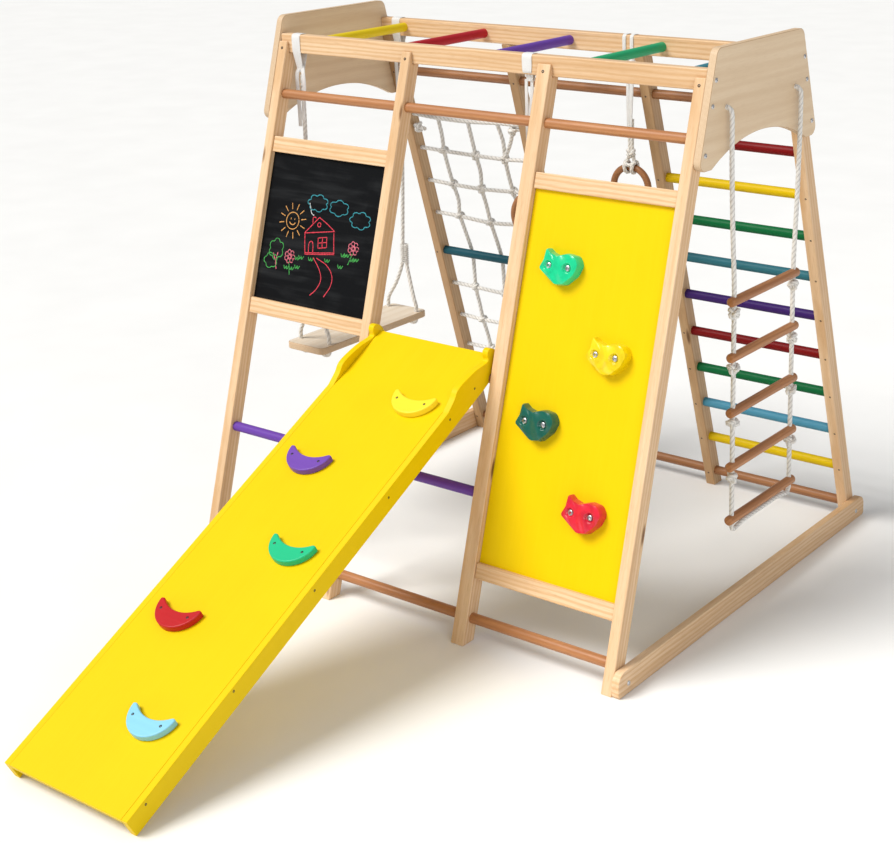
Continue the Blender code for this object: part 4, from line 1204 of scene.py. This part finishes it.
def free_rope(name, route, body, node):
    """A rope with its strands, along its own route."""
    rope = strand_rope(name, [route], LAID_R, body, [node])
    line = moved(catmull(route, 0.006))
    length = route_length(route)


def build_cords():
    for side, leg_y, strap_y in zip(("front", "back"), LEG_Y, STRAP_Y):
        node = f"swing_rope_{side}"
        free_rope(f"{node}_laid", swing_route(leg_y, strap_y), "swing", node)
    name = "rope_ladder_rope"
    free_rope(f"{name}_laid", ladder_route(), "rope_ladder", name)


def strap_over_rail(name, x, y, low_z, width):
    """Webbing laid over a top rail, both legs drawn together below it."""
    clear, top = 0.0014, RAIL_Z[1] + 0.0014
    legs = []
    for edge, sign in zip(RAIL_Y if y < MID_Y else BACK_RAIL_Y, (-1, 1)):
        leg = [(y + sign * 0.004, low_z), (y + sign * 0.006, low_z + 0.018)]
        leg += [(edge + sign * (clear - 0.001), RAIL_Z[0] + 0.004), (edge + sign * clear, 1.4)]
        leg += [(edge + sign * clear, RAIL_Z[1] - 0.006), (edge + sign * (clear - 0.004), top - 0.001)]
        legs.append(leg)
    near, far = legs
    crown = ((near[3][0] + far[3][0]) / 2, top)
    widths = [width * share for share in (0.62, 0.85, 1, 1, 1, 1, 1, 0.85, 0.62)]
    band(name, [(x, *spot) for spot in (*near, crown, *reversed(far))], 0.0016, "frame", widths)


def coil(x, y, z, wide, deep, step, turns):
    """Thin cord wound round a rope, going up or down by step for each point."""
    return [(x + wide * cos(0.9 * t), y + deep * sin(0.9 * t), z + step * t) for t in range(turns)]


def build_swing():
    near, far = SEAT_Y
    left, right = SWING_X - SEAT_WIDTH / 2, SWING_X + SEAT_WIDTH / 2
    outline = rounded([(left, near), (right, near), (right, far), (left, far)], [0.02] * 4, 8)
    bm = prism(outline, SEAT_Z, SEAT_Z + SEAT_THICK, "xy", side_index=1)
    ply("swing_seat_ply", "swing_seat", bm, SEAT_PLY, "swing", (Y_AXIS, Z_AXIS), 0.003)
    left = [(-0.004, 1.345), (-0.0125, 1.322), (-0.0135, 1.29), (-0.0115, 1.25), (-0.0105, 1.21)]
    right = [(0.002, 1.345), (0.0105, 1.322), (0.012, 1.29), (0.009, 1.25), (0.0045, 1.215)]
    loops = {"left": [*left, (-0.01, 1.172)], "right": [*right, (0.003, 1.19)]}
    for side, strap_y, leg_y in zip(("front", "back"), STRAP_Y, LEG_Y):
        strap_over_rail(f"swing_strap_{side}", SWING_X - 0.004, strap_y, 1.326, 0.03)
        for part, leg in loops.items():
            path = [(SWING_X + x, strap_y - (0.008 if i else 0.001), z) for i, (x, z) in enumerate(leg)]
            band(f"swing_loop_{side}_{part}", path, 0.0024, "swing", [0.0135, 0.0135])
        split_y = leg_y + (strap_y - leg_y) * SPLIT_SHARE
        seizing = coil(SWING_X + 0.0055, split_y, SPLIT_Z + 0.002, 0.015, 0.008, -0.00095, 66)
        whip = coil(SWING_X, strap_y, 1.268, 0.0078, 0.0078, 0.0016, 26)
        for part, line, thick in (("seizing", seizing, 0.0016), ("whipping", whip, 0.0012)):
            strand_rope(f"swing_{part}_{side}", [line], thick, "swing", spacing=0.003, sides=9)


HITCH_CROSS = [(-0.014, 0.0105, 0.001), (0, 0.0135, -0.002), (0.014, 0.0105, 0.001)]
RING_WEBBING = [(0.0035, 0.0062, 1.172), (0.0045, 0.0062, 1.23), (0.006, 0.004, 1.29)]
RING_WEBBING += [(0.0085, 0.002, 1.335), (0.009, 0.001, RING_PIVOT_Z)]


def ring_mesh(middle, y):
    """A round ring facing along Y, and its own coordinates for the wood's grain."""
    bm = bmesh.new()
    around, across = 72, 20
    loops = []
    grain = []
    for i in range(around):
        turn = 2 * pi * i / around
        loop = []
        for j in range(across):
            roll = 2 * pi * j / across
            reach = RING_MAJOR + RING_MINOR * cos(roll)
            spot = [reach * cos(turn), RING_MINOR * sin(roll), reach * sin(turn)]
            loop.append(bm.verts.new(Vector(spot) + Vector((middle, y, RING_Z))))
            grain += spot
        loops.append(loop)
    skin(bm, [*loops, loops[0]], False)
    return bm, grain


def build_rings():
    for (side, middle), y in zip(RING_X.items(), STRAP_Y):
        name = f"gym_ring_{side}"
        body = f"ring_{side}"
        bm, grain = ring_mesh(middle, y)
        # The ring is beech darkened as painted shade.
        store(add(f"{name}_turned", bm, BEECH_PAINTED_SHADE, body, replaces=[name], slot="beech"), "grain", grain)
        top = RING_Z + RING_MAJOR + RING_MINOR
        lift = RING_MINOR + 0.0058
        hitch = []
        for offset in (-0.012, 0.012):
            wrap = []
            for k in range(13):
                t = 2 * pi * k / 13
                x = middle + offset * (1 + 0.2 * cos(t))
                wrap.append((x, y + lift * sin(t), RING_Z + RING_MAJOR + lift * cos(t)))
            hitch.append(wrap)
        strand_rope(f"{name}_hitch", hitch, RING_ROPE_R, body, closed=True)
        cross = [(middle + x, y - deep, top + z) for x, deep, z in HITCH_CROSS]
        legs = []
        for sign in (-1, 1):
            leg = [(0.009, top + 0.016), (0.0042, top + 0.034), (0.0046, top + 0.08), (0.005, 1.2)]
            start = (middle + sign * 0.012, y + sign * 0.002, top + 0.002)
            legs.append([start, *[(middle + sign * x, y, z) for x, z in leg]])
        strand_rope(f"{name}_rope", [*legs, cross], RING_ROPE_R, body)
        knot = overhand((middle, y, top + 0.03), 0.0115, turn=0.8 if side == "front" else 2.1)
        strand_rope(f"{name}_knot", [knot], RING_ROPE_R, body, closed=True)
        for part, sign in (("left", -1), ("right", 1)):
            leg = [(middle + sign * x, y - deep, z) for x, deep, z in RING_WEBBING]
            band(f"{name}_webbing_{part}", leg, 0.003, body, [0.009, 0.01, 0.0115, 0.01, 0.009])
        if side == "front":
            strap_over_rail(f"{name}_strap", middle + 0.004, y, 1.362, 0.03)
        else:
            for part, shift in (("left", -0.011), ("right", 0.013)):
                strap_over_rail(f"{name}_strap_{part}", middle + shift, y, 1.362, 0.011)


def build_rope_ladder():
    for i, z in enumerate(LADDER_RUNG_Z):
        half = LADDER_RUNG_LONG / 2
        ends = (LADDER_X, MID_Y - half, z), (LADDER_X, MID_Y + half, z)
        name = f"rope_ladder_rung_{i + 1}"
        dowel(f"{name}_turned", *ends, LADDER_RUNG_R, BEECH, "rope_ladder", [name], 0.006, "beech")
    knots = []
    for i, z in enumerate(LADDER_RUNG_Z[:-1]):
        for side in (-1, 1):
            centre = (LADDER_X, MID_Y + side * LADDER_ROPE_Y, z - LADDER_RUNG_R - 0.0175)
            knots.append(overhand(centre, 0.0128, turn=0.7 * i + side))
    strand_rope("rope_ladder_knots", knots, 0.0064, "rope_ladder", closed=True)
    stubs = []
    inner = []
    for side in (-1, 1):
        y = MID_Y + side * ROPE_HOLE_Y
        through = (BOARD_IN + BOARD_THICK + 0.0042, BOARD_IN + BOARD_THICK - 0.01, BOARD_IN - 0.012)
        stubs.append([(x, y, ROPE_HOLE_Z) for x in through])
        inner.append(overhand((BOARD_IN - 0.0125, y, ROPE_HOLE_Z), 0.0098, X_AXIS, side))
        tail = ((0.014, 0, 0.004), (0.022, 0.004, 0.018), (0.02, 0.006, 0.038))
        stubs.append([(BOARD_IN - x, y + out, ROPE_HOLE_Z - down) for x, out, down in tail])
    strand_rope("rope_ladder_stubs", stubs, LAID_R, "frame")
    strand_rope("rope_ladder_inner_knots", inner, RING_ROPE_R, "frame", closed=True)


def build_net():
    """Rows let into the posts, drops tied to each with an overhand knot, and the top corners tied off."""
    left, right = POST_X[0] + 0.015 - 0.01, POST_X[1] - 0.015 + 0.01
    ropes = []
    knots = []
    crossings = {}
    for row, z in enumerate(NET_ROWS):
        spots = []
        for drop, x in enumerate(NET_DROPS):
            sway = rng.uniform(-0.004, 0.004)
            sag = -0.004 - 0.003 * (drop == 1) + rng.uniform(-0.003, 0.003)
            height = z + sag
            spots.append(Vector((x + sway, side_y("back", height), height)))
            crossings[row, drop] = spots[-1]
            if row:
                knots.append(overhand(spots[-1] + Vector((0, 0.002, 0)), 0.0118, UP_BACK, rng.uniform(0, 6)))
        start, end = Vector((left, side_y("back", z), z)), Vector((right, side_y("back", z), z))
        ropes.append([start, start.lerp(spots[0], 0.5), *spots, spots[-1].lerp(end, 0.5), end])
    behind = DOWEL_R + 0.0075
    for drop in range(len(NET_DROPS)):
        route = []
        for row in range(len(NET_ROWS)):
            spot = crossings[row, drop] + Vector((0, 0.003, 0))
            if row and row != 4:
                bow = (route[-1] + spot) / 2 + Vector((rng.uniform(-0.006, 0.006), 0.003, 0))
                route.append(bow)
            if row == 4:
                x = (crossings[3, drop].x + spot.x) / 2
                for lift in (0.022, 0.0, -0.022):
                    z = NET_DOWEL_Z + lift
                    route.append(Vector((x, side_y("back", z) + behind, z)))
            route.append(spot)
        ropes.append(route)
    corner_left = Vector((-0.646, side_y("back", 1.086) - 0.006, 1.086))
    corner_right = Vector((-0.282, side_y("back", 1.109), 1.109))
    last = crossings[1, 2]
    post = Vector((right, side_y("back", 1.118), 1.118))
    ways = ((-0.014, 0.004, 0.002), (0, 0, 0), (0.03, -0.004, -0.003))
    ropes.append([corner_left + Vector(way) for way in ways])
    ropes.append([last, last.lerp(corner_right, 0.55) + Vector((0.003, 0.002, 0)), corner_right])
    ropes.append([corner_right, corner_right + Vector((0.018, 0.002, 0.004)), post])
    knots.append(overhand(corner_left, 0.013, X_AXIS, 0.6))
    knots.append(overhand(corner_right, 0.013, (0.6, 0, 0.8), 1.6))
    strand_rope("climbing_net_ropes", ropes, 0.0066, "frame", ["climbing_net"])
    strand_rope("climbing_net_knots", knots, 0.006, "frame", closed=True)


make_camera()
build_cords()
make_studio()
build_posts()
build_dowels()
build_rails()
build_ends()
build_screws()
chalk_span = (POST_X[0] + 0.0154, POST_X[1] - 0.0154)
climb_span = (POST_X[2] + 0.0204, POST_X[3] - 0.0154)
build_wall("chalkboard", SLATE, "chalkboard_black", chalk_span, CHALK_Z, 0.0425, X_AXIS)
build_wall("climbing_panel", PAINT["yellow"], "yellow_paint", climb_span, CLIMB_Z, 0.0395, UP_FRONT)
build_chalk(sum(chalk_span) / 2)
build_holds(sum(climb_span) / 2)
build_slide()
build_swing()
build_rings()
build_rope_ladder()
build_net()
